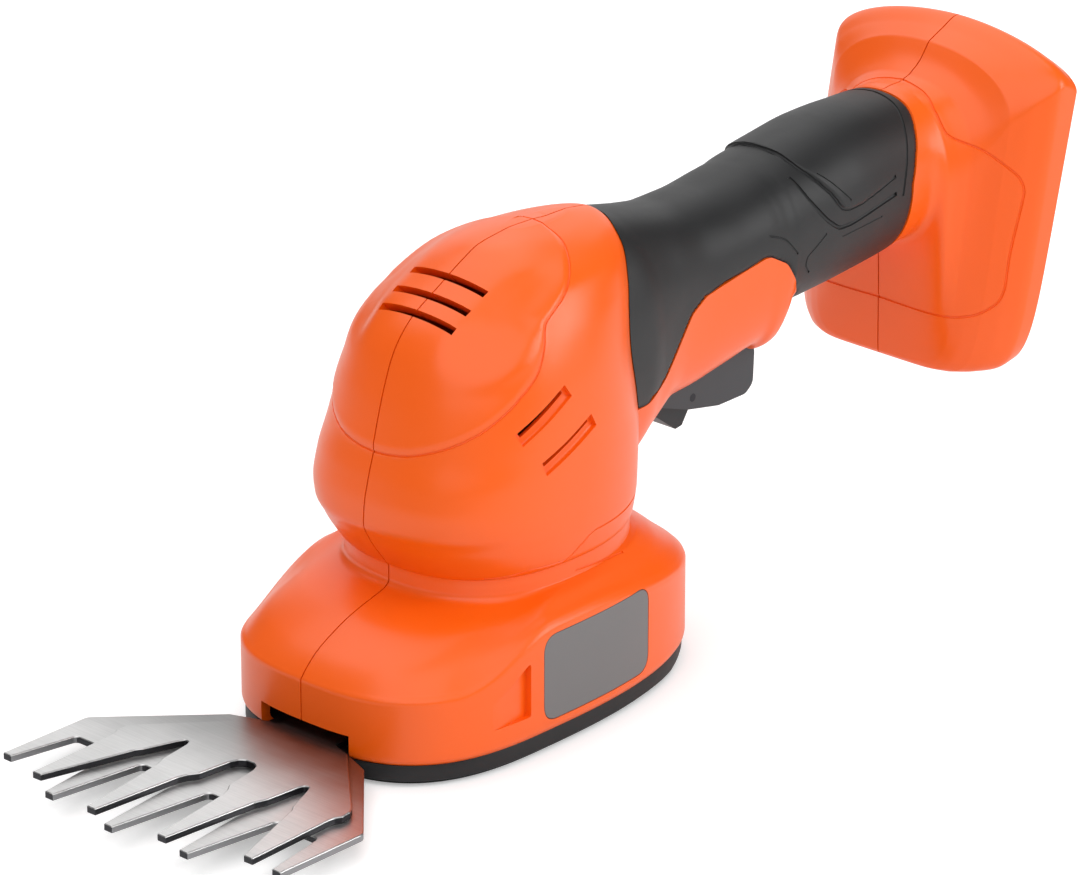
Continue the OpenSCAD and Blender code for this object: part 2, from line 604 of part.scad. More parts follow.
// Sole: follows the foot of the base, stepped in at the ground and cut up at the back
sole_in = 0.8;
sole_step = 1.6;
sole_step_in = 1.4;
sole_flat_share = 0.70;
sole_end_share = 0.93;
peg_r = 2;
peg_x = 24;
peg_y = 9;
bolt_head_h = 2;
bolt_rim = 2.5;
bolt_head_r = pivot_r + bolt_rim;
seat_side = 0.4;
cam_step = 1;
idler_step = 1.5;
cam_foot_r = axle_r + cam_step;
idler_foot_r = axle_r + idler_step;
module sole_side() polygon([[-base_front, 0], [base_rear * sole_flat_share, 0],
    [base_rear * sole_end_share, sole_h - sole_step], [base_rear, sole_h - sole_step],
    [base_rear, sole_h], [-base_front, sole_h]]);
module sole_plate() color(black) {
    difference() {
        intersection() {
            union() {
                translate([0, 0, sole_step]) linear_extrude(sole_h - sole_step) polygon(wall_plan(sole_in));
                linear_extrude(sole_h) polygon(wall_plan(sole_in + sole_step_in));
            }
            upright(far) sole_side();
        }
        translate([-far, -lower_neck_w / 2 - seat_side, blade_z])
            cube([far + lower_tail_x + seat_side, lower_neck_w + 2 * seat_side, far]);
        translate([0, 0, blade_z - bolt_head_h - clear]) cylinder(r = bolt_head_r + clear, h = far);
        translate([cam_x, 0, foot_seat]) cylinder(r = cam_foot_r + running, h = far);
        translate([idler_x, 0, foot_seat]) cylinder(r = idler_foot_r + running, h = far);
        for (p = legs) translate([p[0], p[1], -cut]) {
            cylinder(r = screw_r + clear / 3, h = far);
            cylinder(r = screw_head_r + clear, h = cut + sole_screw_z + screw_head_h);
        }
    }
    for (s = [-1, 1]) translate([-peg_x, s * peg_y, blade_z]) cylinder(r = peg_r, h = blade_t - blade_gap);
}
sole_screw_z = 1;
sole_screw_in = 10;
module sole_screws() color(steel) for (p = legs) translate([p[0], p[1], sole_screw_z]) {
    cylinder(r = screw_head_r, h = screw_head_h);
    cylinder(r = screw_r, h = sole_h - sole_screw_z + sole_screw_in);
}

// Blades: parallel teeth on an arc about the pivot
lower_neck_w = 29;
tail_run = 9;
lower_tail_x = cam_x + tail_run;
corner_x_share = 0.66;
shoulder_x_share = 0.433;
shoulder_y_share = 0.485;
root_r = 1.6;
lower_y = [for (k = [-2:2]) k * tooth_pitch];
upper_y = [for (k = [-1.5:1.5]) k * tooth_pitch];
function tip_x(reach, y) = -sqrt(reach * reach - y * y);
function teeth(ys, reach) = [for (y = ys) each [[-tooth_root_x, y - tooth_root_w / 2],
    [tip_x(reach, y), y - tooth_tip_w / 2], [tip_x(reach, y), y + tooth_tip_w / 2],
    [-tooth_root_x, y + tooth_root_w / 2]]];
lower_edge = lower_y[4] + tooth_tip_w / 2;
lower_corner = [-blade_reach * corner_x_share, lower_edge];
lower_shoulder = [-blade_reach * shoulder_x_share, lower_edge * shoulder_y_share];
lower_teeth = teeth(lower_y, blade_reach);
lower_inner_teeth = [for (i = [1:len(lower_teeth) - 2]) lower_teeth[i]];
neck_share = 0.96;
lower_neck_x = base_front * neck_share;
module lower_outline() offset(-root_r) offset(delta = root_r) polygon(concat(
    [[lower_tail_x, -lower_neck_w / 2], [-lower_neck_x, -lower_neck_w / 2],
     [lower_shoulder[0], -lower_shoulder[1]], [lower_corner[0], -lower_corner[1]]],
    lower_inner_teeth,
    [lower_corner, lower_shoulder, [-lower_neck_x, lower_neck_w / 2], [lower_tail_x, lower_neck_w / 2]]));
module lower_blade() color(steel) difference() {
    translate([0, 0, blade_z]) linear_extrude(blade_t) lower_outline();
    cylinder(r = pivot_r + running, h = far);
    translate([cam_x, 0, 0]) cylinder(r = cam_foot_r + clear, h = far);
    for (s = [-1, 1]) translate([-peg_x, s * peg_y, 0]) cylinder(r = peg_r + running, h = far);
}
// Moving blade: rounded slots between its teeth, and an open fork round the eccentric at its tail.
// The edge of one half runs from the middle slot to the flank, on the reach and the tooth pitch
upper_reach = blade_reach - upper_short;
mid_slot_shares = [[0.605, 0.048], [0.613, 0.120], [0.634, 0.160], [0.719, 0.212], [0.741, 0.280],
                   [0.765, 0.316]];
side_slot_shares = [[0.748, 0.696], [0.718, 0.748], [0.632, 0.796], [0.618, 0.824], [0.616, 0.880],
                    [0.629, 0.916], [0.709, 1.060], [0.725, 1.112], [0.751, 1.148]];
upper_flank_shares = [[0.708, 1.556], [0.692, 1.568], [0.676, 1.608], [0.649, 1.596], [0.632, 1.548]];
upper_flank_share = 0.80;
upper_neck_w = 20;
fork_half_w = cam_r + 2 * cam_throw + 2 * clear;
fork_arm_w = 3.6;
fork_air = 1;
fork_x0 = cam_x - cam_r - cam_throw - fork_air - fork_arm_w;
fork_x1 = cam_x + cam_r;
function upper_at(shares) = [for (t = shares) [-upper_reach * t[0], tooth_pitch * t[1]]];
function upper_tip(y) = [for (s = [-1, 1]) [tip_x(upper_reach, y), y + s * tooth_tip_w / 2]];
upper_half = concat(upper_at(mid_slot_shares), upper_tip(upper_y[2]), upper_at(side_slot_shares),
    upper_tip(upper_y[3]), upper_at(upper_flank_shares),
    [[-blade_reach * shoulder_x_share, upper_neck_w * upper_flank_share], [-base_front, upper_neck_w / 2],
     [fork_x0 - 2 * cam_throw, upper_neck_w / 2], [fork_x0, fork_half_w + fork_arm_w],
     [fork_x1, fork_half_w + fork_arm_w], [fork_x1, fork_half_w], [fork_x0 + fork_arm_w, fork_half_w]]);
upper_last = len(upper_half) - 1;
module upper_outline() polygon(concat(upper_half,
    [for (i = [upper_last:-1:0]) [upper_half[i][0], -upper_half[i][1]]]));
module upper_blade() color(steel) rotate([0, 0, rest_deg]) difference() {
    translate([0, 0, upper_z]) linear_extrude(blade_t) upper_outline();
    cylinder(r = pivot_r + running, h = far);
}
nut_h = 4;
nut_rim = 3;
nut_r = pivot_r + nut_rim;
module pivot_bolt() color(steel) {
    translate([0, 0, blade_z - bolt_head_h]) cylinder(r = bolt_head_r, h = bolt_head_h);
    translate([0, 0, blade_z]) cylinder(r = pivot_r, h = bridge_top + nut_h + cut - blade_z);
}
module pivot_washer() color(brass) translate([0, 0, washer_z]) difference() {
    cylinder(r = pivot_boss_r, h = washer_t);
    translate([0, 0, -cut]) cylinder(r = pivot_r + running, h = washer_t + 2 * cut);
}
module pivot_nut() color(steel) translate([0, 0, bridge_top]) difference() {
    cylinder(r = nut_r, h = nut_h, $fn = 6);
    translate([0, 0, -cut]) cylinder(r = pivot_r + running, h = nut_h + 2 * cut);
}

// Frame of the drive: a bridge on four legs, and the plate that carries the motor
module legs_outline(r) hull() for (p = legs) translate(p) circle(r, $fn = 32);
module gear_bridge() color("gray") difference() {
    union() {
        translate([0, 0, bridge_z]) linear_extrude(bridge_t) hull() {
            legs_outline(leg_r + cut);
            circle(pivot_boss_r + cut, $fn = 32);
        }
        for (p = legs) translate([p[0], p[1], sole_h]) cylinder(r = leg_r, h = bridge_z - sole_h);
        translate([0, 0, boss_z]) cylinder(r = pivot_boss_r, h = bridge_z - boss_z);
    }
    cylinder(r = pivot_r + running, h = far);
    translate([cam_x, 0, 0]) cylinder(r = axle_r + running, h = far);
    translate([idler_x, 0, 0]) cylinder(r = pinion_tip_r + 2 * clear, h = far);
    for (p = legs) translate([p[0], p[1], 0]) cylinder(r = screw_r + running, h = far);
}
module motor_plate() color("gray") difference() {
    union() {
        translate([0, 0, plate_z]) linear_extrude(plate_t) legs_outline(leg_r + cut);
        for (p = legs) translate([p[0], p[1], bridge_top]) cylinder(r = leg_r, h = plate_z - bridge_top);
    }
    translate([cam_x, 0, 0]) cylinder(r = nose_r + running, h = far);
    translate([idler_x, 0, 0]) cylinder(r = axle_r + running, h = far);
    for (s = [-1, 1]) translate([cam_x, s * motor_hole_y, 0]) cylinder(r = screw_r + running, h = far);
    for (p = legs) translate([p[0], p[1], 0]) cylinder(r = screw_r + running, h = far);
}
plate_screw_l = 12;
module plate_screws() color(steel) for (p = legs) translate([p[0], p[1], motor_z]) {
    cylinder(r = screw_head_r, h = screw_head_h);
    translate([0, 0, -plate_screw_l]) cylinder(r = screw_r, h = plate_screw_l);
}

// Gears: involute flanks, thinned a little and shortened so that they run free
pressure_deg = 20;
dedendum_share = 1.3;
function involute_deg(r, base) = let (a = acos(min(1, base / r))) tan(a) * 180 / PI - a;
function half_tooth(r, n) = let (pitch = gear_module * n / 2, base = pitch * cos(pressure_deg))
    90 / n - tooth_play / pitch * 90 / PI + involute_deg(pitch, base) - involute_deg(max(r, base), base);
function gear_points(n) = let (
    pitch = gear_module * n / 2, tip = pitch + gear_module * addendum_share,
    root = pitch - gear_module * dedendum_share, mid = max(pitch * cos(pressure_deg), root))
    [for (k = [0:n - 1], e = [[root, -1], [mid, -1], [pitch, -1], [tip, -1],
                              [tip, 1], [pitch, 1], [mid, 1], [root, 1]])
        let (th = 360 * k / n + e[1] * half_tooth(e[0], n)) e[0] * [cos(th), sin(th)]];
half_step = 180 / pinion_teeth;
module cam_gear() color("whitesmoke") translate([cam_x, 0, 0]) difference() {
    union() {
        translate([0, 0, cam_gear_z]) linear_extrude(gear_face) polygon(gear_points(gear_teeth));
        translate([cam_throw * cos(cam_phase), cam_throw * sin(cam_phase), cam_z])
            cylinder(r = cam_r, h = cam_gear_z - cam_z);
    }
    cylinder(r = axle_r + running, h = far);
}
module cam_axle() color(steel) translate([cam_x, 0, 0]) {
    translate([0, 0, foot_seat]) cylinder(r = cam_foot_r, h = cam_z - blade_gap - foot_seat);
    translate([0, 0, foot_seat]) cylinder(r = axle_r, h = bridge_top - foot_seat);
}
module compound_gear() color("whitesmoke") translate([idler_x, 0, 0]) difference() {
    union() {
        translate([0, 0, cam_gear_z]) rotate(half_step) linear_extrude(wheel_z - cam_gear_z)
            polygon(gear_points(pinion_teeth));
        translate([0, 0, wheel_z]) linear_extrude(gear_face) polygon(gear_points(gear_teeth));
    }
    cylinder(r = axle_r + running, h = far);
}
module compound_axle() color(steel) translate([idler_x, 0, foot_seat]) {
    cylinder(r = idler_foot_r, h = cam_gear_z - blade_gap - foot_seat);
    cylinder(r = axle_r, h = motor_z - foot_seat);
}
module motor_pinion() color(brass) translate([cam_x, 0, wheel_z]) difference() {
    rotate(half_step) linear_extrude(gear_face) polygon(gear_points(pinion_teeth));
    translate([0, 0, -cut]) cylinder(r = shaft_r, h = gear_face + 2 * cut);
}

// Motor, standing on the plate over the cam
nose_r = 6;
bush_r = 3.6;
magnet_t = 2.2;
magnet_air = 0.5;
core_z0_share = 0.16;
core_z1_share = 0.72;
comm_r = 5.5;
comm_h = 7;
brush_w = 4;
brush_l = 5;
module motor_can() color("silver") translate([cam_x, 0, motor_z]) difference() {
    union() {
        cylinder(r = motor_r, h = motor_l);
        translate([0, 0, -plate_t]) cylinder(r = nose_r, h = plate_t);
    }
    translate([0, 0, 2 * can_t]) cylinder(r = motor_r - can_t, h = motor_l);
    translate([0, 0, -plate_t - cut]) cylinder(r = bush_r, h = far);
    for (s = [-1, 1]) translate([0, s * motor_hole_y, -cut]) cylinder(r = screw_r + running, h = far);
}
module motor_magnets() color(charcoal) translate([cam_x, 0, motor_z + motor_l * core_z0_share]) difference() {
    cylinder(r = motor_r - can_t, h = motor_l * (core_z1_share - core_z0_share));
    translate([0, 0, -cut]) cylinder(r = motor_r - can_t - magnet_t, h = motor_l);
    translate([-motor_r / 4, -motor_r, -cut]) cube([motor_r / 2, 2 * motor_r, motor_l]);
}
module motor_end_cap() color(black) translate([cam_x, 0, cap_z]) difference() {
    cylinder(r = motor_r, h = cap_h);
    translate([0, 0, -cut]) cylinder(r = bush_r, h = cap_h + 2 * cut);
}
module bush(z, h) translate([cam_x, 0, z]) difference() {
    cylinder(r = bush_r, h = h);
    translate([0, 0, -cut]) cylinder(r = shaft_r + running, h = h + 2 * cut);
}
module motor_bushes() color(brass) {
    bush(plate_z, plate_t + 2 * can_t);
    bush(cap_z, cap_h);
}
module motor_brushes() color(charcoal) translate([cam_x, 0, cap_z - comm_h]) for (s = [-1, 1])
    translate([-brush_w / 2, s > 0 ? comm_r + running : -comm_r - running - brush_l, 0])
        cube([brush_w, brush_l, comm_h]);
terminal_share = 0.6;
terminal_y = motor_r * terminal_share;
module motor_terminals() color(brass) translate([cam_x, 0, cap_top]) for (s = [-1, 1])
    translate([-tab_w / 2, s * terminal_y - tab_t / 2, 0]) cube([tab_w, tab_t, tab_l]);
module motor_screws() color(steel) for (s = [-1, 1])
    translate([cam_x, s * motor_hole_y, plate_z - screw_head_h]) {
        cylinder(r = screw_head_r, h = screw_head_h);
        cylinder(r = screw_r, h = screw_head_h + plate_t + 2 * can_t);
    }
module motor_shaft() color(steel) translate([cam_x, 0, wheel_z])
    cylinder(r = shaft_r, h = cap_top + cut - wheel_z);
module on_shaft(r, z, h) translate([cam_x, 0, z]) difference() {
    cylinder(r = r, h = h);
    translate([0, 0, -cut]) cylinder(r = shaft_r, h = h + 2 * cut);
}
module armature_core() color("gray") on_shaft(motor_r - can_t - magnet_t - magnet_air,
    motor_z + motor_l * core_z0_share, motor_l * (core_z1_share - core_z0_share));
module commutator() color([0.72, 0.45, 0.25]) on_shaft(comm_r, cap_z - comm_h, comm_h - clear);

// Leads inside the body: from the contact block along the handle, as shares of the body's length,
// the lead's place off the middle and the head's height, to the switch and on to the motor
lead_r = 1.1;
lead_sides = 8;
lead_y = 8;
lead_step = 4;
feed_shares = [[0.816, 1, 0.800], [0.785, 1, 0.847], [0.749, 1, 0.886], [0.695, 1, 0.905],
               [0.655, 1, 0.897], [0.628, 0.75, 0.855], [0.613, 0.40, 0.800]];
return_shares = [[0.816, 1, 0.800], [0.785, 1, 0.847], [0.749, 1, 0.886], [0.695, 1, 0.905],
                 [0.628, 1.1, 0.897], [0.538, 1.1, 0.863], [0.448, 1.1, 0.863], [0.381, 1.1, 0.866],
                 [0.314, 1.1, 0.847]];
motor_shares = [[0.437, 0.15, 0.772], [0.4215, 0.40, 0.793], [0.395, 0.90, 0.839], [0.359, 1.1, 0.858],
                [0.314, 1.1, 0.847]];
// The last run to the motor, as shares of its radius behind and over the terminal
last_shares = [[1.60, -0.20], [0.78, -0.10], [0.22, 0.04], [0, 0]];
lead_tab_z = tab_z + tab_t + lead_r + running;
lead_end_z = cap_top + tab_l + lead_r + running;
function foot_point(x, y, z) = [foot_last[2] + x * cos(foot_tilt) + z * sin(foot_tilt), y,
                                foot_last[3] - x * sin(foot_tilt) + z * cos(foot_tilt)];
function lead_start(s) = [for (x = [clear / 3, lead_step]) foot_point(-block_front - x, s * lead_y, block_z)];
function lead_run(shares, s) = [for (t = shares) [along(t[0]), s * lead_y * t[1], up(t[2])]];
function lead_last(s) = [for (t = last_shares)
    [cam_x + motor_r * t[0], s * terminal_y, lead_end_z + motor_r * t[1]]];
feed_path = concat(lead_start(-1), lead_run(feed_shares, -1), [
    [switch_x + switch_l / 2 + tab_l, 0, lead_tab_z + lead_r],
    [switch_x + switch_l / 2 + tab_l / 2, 0, lead_tab_z]]);
return_path = concat(lead_start(1), lead_run(return_shares, 1), lead_last(1));
motor_path = concat([[switch_x - switch_l / 2 - tab_l / 2, 0, lead_tab_z]],
                    lead_run(motor_shares, -1), lead_last(-1));
module lead_feed() color("firebrick") tube(feed_path, lead_r, lead_sides);
module lead_return() color(black) tube(return_path, lead_r, lead_sides);
module lead_motor() color("firebrick") tube(motor_path, lead_r, lead_sides);

casing_left();
casing_right();
grip_left();
grip_right();
badge_left();
badge_right();
sole_plate();
sole_screws();
casing_screws();
lower_blade();
upper_blade();
pivot_bolt();
pivot_washer();
pivot_nut();
gear_bridge();
motor_plate();
plate_screws();
cam_gear();
cam_axle();
compound_gear();
compound_axle();
motor_can();
motor_magnets();
motor_end_cap();
motor_bushes();
motor_brushes();
motor_terminals();
motor_screws();
motor_shaft();
armature_core();
commutator();
motor_pinion();
trigger();
trigger_pin();
trigger_spring();
lock_lever();
lock_pin();
switch_body();
switch_plunger();
switch_terminals();
terminal_block();
battery_contacts();
lead_feed();
lead_return();
lead_motor();
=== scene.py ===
import json
import math
import bpy
import bmesh
import numpy as np
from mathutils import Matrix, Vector
from mathutils.bvhtree import BVHTree

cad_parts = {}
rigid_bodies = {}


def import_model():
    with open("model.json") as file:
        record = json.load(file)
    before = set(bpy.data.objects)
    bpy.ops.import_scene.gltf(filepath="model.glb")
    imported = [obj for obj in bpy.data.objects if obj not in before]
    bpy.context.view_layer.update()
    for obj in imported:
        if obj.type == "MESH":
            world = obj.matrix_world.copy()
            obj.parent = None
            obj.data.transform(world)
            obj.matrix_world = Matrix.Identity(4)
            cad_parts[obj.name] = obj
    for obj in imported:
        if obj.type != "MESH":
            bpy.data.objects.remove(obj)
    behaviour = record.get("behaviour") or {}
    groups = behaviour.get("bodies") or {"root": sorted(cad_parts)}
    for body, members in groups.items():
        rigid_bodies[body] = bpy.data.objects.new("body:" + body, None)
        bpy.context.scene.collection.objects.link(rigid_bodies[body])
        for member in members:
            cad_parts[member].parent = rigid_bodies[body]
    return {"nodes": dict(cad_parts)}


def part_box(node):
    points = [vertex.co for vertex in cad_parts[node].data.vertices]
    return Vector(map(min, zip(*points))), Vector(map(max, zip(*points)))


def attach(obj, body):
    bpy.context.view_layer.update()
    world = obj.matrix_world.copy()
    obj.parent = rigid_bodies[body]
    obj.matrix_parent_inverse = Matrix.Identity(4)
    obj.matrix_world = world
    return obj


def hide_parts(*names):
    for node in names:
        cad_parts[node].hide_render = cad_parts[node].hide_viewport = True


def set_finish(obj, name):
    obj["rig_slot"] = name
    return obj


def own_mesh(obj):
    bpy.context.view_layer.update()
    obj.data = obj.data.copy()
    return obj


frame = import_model()
nodes = frame["nodes"]
scene = bpy.context.scene
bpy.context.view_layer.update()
mm = 0.001  # shapes below are written in millimetres
print("frame loaded,", len(nodes), "nodes")


# shapes
# Rows of a table joined by cubics whose slopes are harmonic means, so nothing overshoots.
def smoothRows(table, steps):
    t = np.asarray(table, float)
    d = np.diff(t, axis=0)
    slope = np.concatenate([d[:1], np.zeros_like(d[1:]), d[-1:]])
    product, total = d[:-1] * d[1:], d[:-1] + d[1:]
    slope[1:-1] = np.where(product > 0, 2 * product / np.where(total == 0, 1, total), 0)
    f = (np.arange(steps) / steps)[None, :, None]
    a, b, ma, mb = t[:-1, None], t[1:, None], slope[:-1, None], slope[1:, None]
    rows = (a * (1 + 2 * f) * (1 - f) ** 2 + b * f * f * (3 - 2 * f)
            + ma * f * (1 - f) ** 2 - mb * f * f * (1 - f))
    return np.concatenate([rows.reshape(-1, t.shape[1]), t[-1:]])


# The same rows picked again so that neighbours lie about equally far apart on the skin.
def evenRows(rows, count):
    step = np.abs(np.diff(rows[:, :5], axis=0))
    move = np.maximum(np.hypot(step[:, 0], step[:, 1]), np.hypot(step[:, 2], step[:, 3])) + step[:, 4] * 0.5
    run = np.concatenate([[0], np.cumsum(move)])
    at = np.interp(np.linspace(0, run[-1], count), run, np.arange(len(rows)))
    low = np.minimum(at.astype(int), len(rows) - 2)
    f = (at - low)[:, None]
    return rows[low] * (1 - f) + rows[low + 1] * f


# Angles that step evenly along a superellipse, quarter by quarter, so its four extremes stay on the grid.
def evenAngles(outer, inner, quarter):
    def oneQuarter(p):
        th = np.linspace(0, np.pi / 2, 1500)
        x, y = np.cos(th) ** (2 / p), np.sin(th) ** (2 / p)
        run = np.concatenate([[0], np.cumsum(np.hypot(np.diff(x), np.diff(y)))])
        return np.interp(np.linspace(0, run[-1], quarter + 1), run, th)
    a, b = oneQuarter(outer), oneQuarter(inner)
    return np.concatenate([a[:-1], np.pi - b[:0:-1], np.pi + b[:-1], 2 * np.pi - a[:0:-1]])


# A smooth step from 0 at the low end to 1 at the high end: f squared times (3 - 2 f).
def ease(a, low, high):
    f = np.clip((a - low) / (high - low), 0, 1)
    return f * f * (3 - 2 * f)


flankLift = {"on": (0.14, 0.40), "off": (0.5, 1), "drop": 0.62}


# A moulding's skin: each row is a section from an outer point to an inner point, its width a superellipse
# with one exponent before its widest place and one after, and a lift that raises the flanks of the base.
def sectionSkin(rows, angles):
    r = rows.T[..., None]
    c, s = np.cos(angles)[None], np.sin(angles)[None]
    p = np.where(c >= 0, r[6], r[7])
    q = np.abs(c) ** (2 / p)
    a = np.where(c >= 0, r[5] * (1 - q), r[5] + (1 - r[5]) * q)
    lift = ease(a, *flankLift["on"]) * (1 - flankLift["drop"] * ease(a, *flankLift["off"]))
    return np.stack([r[0] + (r[2] - r[0]) * a, -np.sign(np.round(s, 9)) * r[4] * np.abs(s) ** (2 / p),
                     r[1] + (r[3] - r[1]) * a + r[8] * lift], -1)


# Directions: each vector divided by its length.
def unit(v):
    return v / np.maximum(np.linalg.norm(v, axis=-1, keepdims=True), 1e-9)


# Outward directions of a closed ring grid: the cross product of its two tangents.
def skinNormals(grid):
    around = np.roll(grid, -1, 1) - np.roll(grid, 1, 1)
    onward = np.gradient(grid, axis=0)
    return unit(np.cross(around, onward))


# Signed distance in a flat view from points to a polyline: positive on its left side.
def lineDistance(u, v, line):
    line = np.asarray(line, float)
    a, d = line[:-1], np.diff(line, axis=0)
    pu, pv = u[..., None] - a[:, 0], v[..., None] - a[:, 1]
    f = np.clip((pu * d[:, 0] + pv * d[:, 1]) / (d ** 2).sum(1), 0, 1)
    gap = np.hypot(pu - f * d[:, 0], pv - f * d[:, 1])
    side = np.sign(d[:, 0] * pv - d[:, 1] * pu)
    k = gap.argmin(-1)[..., None]
    return (np.take_along_axis(gap, k, -1) * np.take_along_axis(side, k, -1))[..., 0]


def meshObject(name, points, faces):
    mesh = bpy.data.meshes.new(name)
    mesh.from_pydata((np.asarray(points, float) * mm).tolist(), [], faces)
    obj = bpy.data.objects.new(name, mesh)
    scene.collection.objects.link(obj)
    return obj


# A closed skin from rings of points: quads between neighbouring rings and a cap on each end, either one flat
# face or, for a ring that is alike on both sides of its first point, strips from each point to its twin.
def ringSkin(name, grid, strips=False):
    k, n = grid.shape[:2]
    i = np.arange(k * n).reshape(k, n)
    j = np.roll(i, -1, 1)
    quads = np.stack([i[:-1], j[:-1], j[1:], i[1:]], -1).reshape(-1, 4)
    caps = [i[0, ::-1], i[-1]]
    if strips:
        a = np.arange(1, n // 2 - 1)
        twins = [ring[np.stack([a, a + 1, n - a - 1, n - a], -1)] for ring in caps]
        ends = [ring[[n - 1, 0, 1]] for ring in caps] + [ring[[n // 2 - 1, n // 2, n // 2 + 1]] for ring in caps]
        caps = list(twins[0]) + list(twins[1]) + ends
    return meshObject(name, grid.reshape(-1, 3), quads.tolist() + [c.tolist() for c in caps])


# Faces turned so that all of a closed skin looks outwards.
def outward(obj):
    bm = bmesh.new()
    bm.from_mesh(obj.data)
    bmesh.ops.recalc_face_normals(bm, faces=bm.faces)
    bm.to_mesh(obj.data)
    bm.free()
    return obj


# An outline carried straight: (x, z) across the body, or (x, y) upwards.
def prism(name, outline, low, high, upwards=False):
    o = np.asarray(outline, float)
    ends = np.stack([np.full(len(o), low), np.full(len(o), high)])
    a, b = np.broadcast_to(o[:, 0], ends.shape), np.broadcast_to(o[:, 1], ends.shape)
    grid = np.stack([a, b, ends] if upwards else [a, ends, b], -1)
    return outward(ringSkin(name, grid))


# A circle as a regular polygon.
def disc(x, z, radius, sides=40):
    th = np.linspace(0, 2 * np.pi, sides, endpoint=False)
    return np.stack([x + radius * np.cos(th), z + radius * np.sin(th)], -1)


# A span with the same reach to both sides of its middle.
def about(middle, half):
    return middle - half, middle + half


# A block between two opposite corners.
def box(name, low, high):
    (x0, y0, z0), (x1, y1, z1) = low, high
    return prism(name, [(x0, y0), (x1, y0), (x1, y1), (x0, y1)], z0, z1, True)


# An outline with each corner replaced by a parabola that touches both sides where an arc of the radius would.
def filletOutline(points, radius, bits):
    p = np.asarray(points, float)
    radius = np.broadcast_to(np.asarray(radius, float), len(p))
    back, on = np.roll(p, 1, 0) - p, np.roll(p, -1, 0) - p
    lb, lo = np.linalg.norm(back, axis=1), np.linalg.norm(on, axis=1)
    ub, uo = back / lb[:, None], on / lo[:, None]
    half = np.arccos(np.clip((ub * uo).sum(1), -1, 1)) / 2
    reach = np.minimum(radius / np.maximum(np.tan(half), 1e-6), 0.45 * np.minimum(lb, lo))
    f = np.linspace(0, 1, bits)[None, :, None]
    a, b = (p + ub * reach[:, None])[:, None], (p + uo * reach[:, None])[:, None]
    return ((1 - f) ** 2 * a + 2 * f * (1 - f) * p[:, None] + f * f * b).reshape(-1, 2)


# An outline moved in by a distance along the bisector at each point.
def insetOutline(points, gap):
    p = np.asarray(points, float)
    d = unit(np.roll(p, -1, 0) - p)
    n = np.stack([-d[:, 1], d[:, 0]], 1)
    area = (p[:, 0] * np.roll(p[:, 1], -1) - p[:, 1] * np.roll(p[:, 0], -1)).sum()
    m = n + np.roll(n, 1, 0)
    m /= np.maximum((m ** 2).sum(1, keepdims=True) / 2, 0.35)
    return p + m * gap * np.sign(area)


# A channel swept along a path: a superellipse of the given width and depth, its depth along the skin's normal.
def channel(name, path, normals, width, depth, sides=14, power=2.0):
    d = unit(np.gradient(path, axis=0))
    v = unit(np.cross(d, normals))
    u = np.cross(v, d)
    th = np.linspace(0, 2 * np.pi, sides, endpoint=False)[None, :, None]
    cs = np.sign(np.cos(th)) * np.abs(np.cos(th)) ** (2 / power)
    sn = np.sign(np.sin(th)) * np.abs(np.sin(th)) ** (2 / power)
    return outward(ringSkin(name, path[:, None] + cs * depth * u[:, None] + sn * width / 2 * v[:, None]))


# A line through a few places, brought onto the nearest points of a skin about every millimetre, with the
# skin's normals there.
def lineOn(tree, places):
    rows = smoothRows(places, 12)
    run = np.concatenate([[0], np.cumsum(np.linalg.norm(np.diff(rows, axis=0), axis=1))])
    at = np.linspace(0, run[-1], max(4, int(run[-1])))
    points = np.stack([np.interp(at, run, rows[:, k]) for k in range(3)], -1)
    hits = [tree.find_nearest(Vector(p * mm)) for p in points]
    return (np.array([h[0][:] for h in hits]) / mm, np.array([h[1][:] for h in hits]))


def treeOf(obj):
    bm = bmesh.new()
    bm.from_mesh(obj.data)
    tree = BVHTree.FromBMesh(bm)
    bm.free()
    return tree


def boolean(obj, tool, how="DIFFERENCE"):
    cutter = obj.modifiers.new("cutter", "BOOLEAN")
    cutter.solver, cutter.operation, cutter.object = "MANIFOLD", how, tool
    bpy.context.view_layer.update()
    graph = bpy.context.evaluated_depsgraph_get()
    result = bpy.data.meshes.new_from_object(obj.evaluated_get(graph))
    obj.modifiers.remove(cutter)
    spent, obj.data = obj.data, result
    bpy.data.meshes.remove(spent)
    bpy.data.meshes.remove(tool.data)
    return obj


def copyOf(obj, name):
    twin = bpy.data.objects.new(name, obj.data.copy())
    scene.collection.objects.link(twin)
    return twin


# Several closed shapes as one mesh, one after another.
def joined(name, parts):
    bm = bmesh.new()
    for mesh in [p.data for p in parts]:
        bm.from_mesh(mesh)
        bpy.data.meshes.remove(mesh)
    obj = meshObject(name, [], [])
    bm.to_mesh(obj.data)
    bm.free()
    return obj


# Round rods, given by middle, radius and two ends, taken out of a shape.
def drill(form, rods, upwards=False):
    rods = [prism("rod", disc(a, b, radius), low, high, upwards) for a, b, radius, low, high in rods]
    boolean(form, joined("rods", rods))


# The two sides of a closed shape, each cut off a little short of the middle plane.
def halves(form, leftName, rightName, short=0):
    twin = copyOf(form, rightName)
    form.name = leftName
    boolean(form, box("leftSpace", (-300, -300, -100), (400, -short, 300)), "INTERSECT")
    boolean(twin, box("rightSpace", (-300, short, -100), (400, 300, 300)), "INTERSECT")
    return form, twin


def smooth(obj, degrees=32):
    obj.data.shade_smooth()
    obj.data.set_sharp_from_angle(angle=math.radians(degrees))
    return obj


def bevelled(obj, width, segments, degrees):
    soft = obj.modifiers.new("softEdge", "BEVEL")
    soft.width, soft.segments, soft.limit_method = width * mm, segments, "ANGLE"
    soft.angle_limit = math.radians(degrees)
    soft.harden_normals = False
    return obj


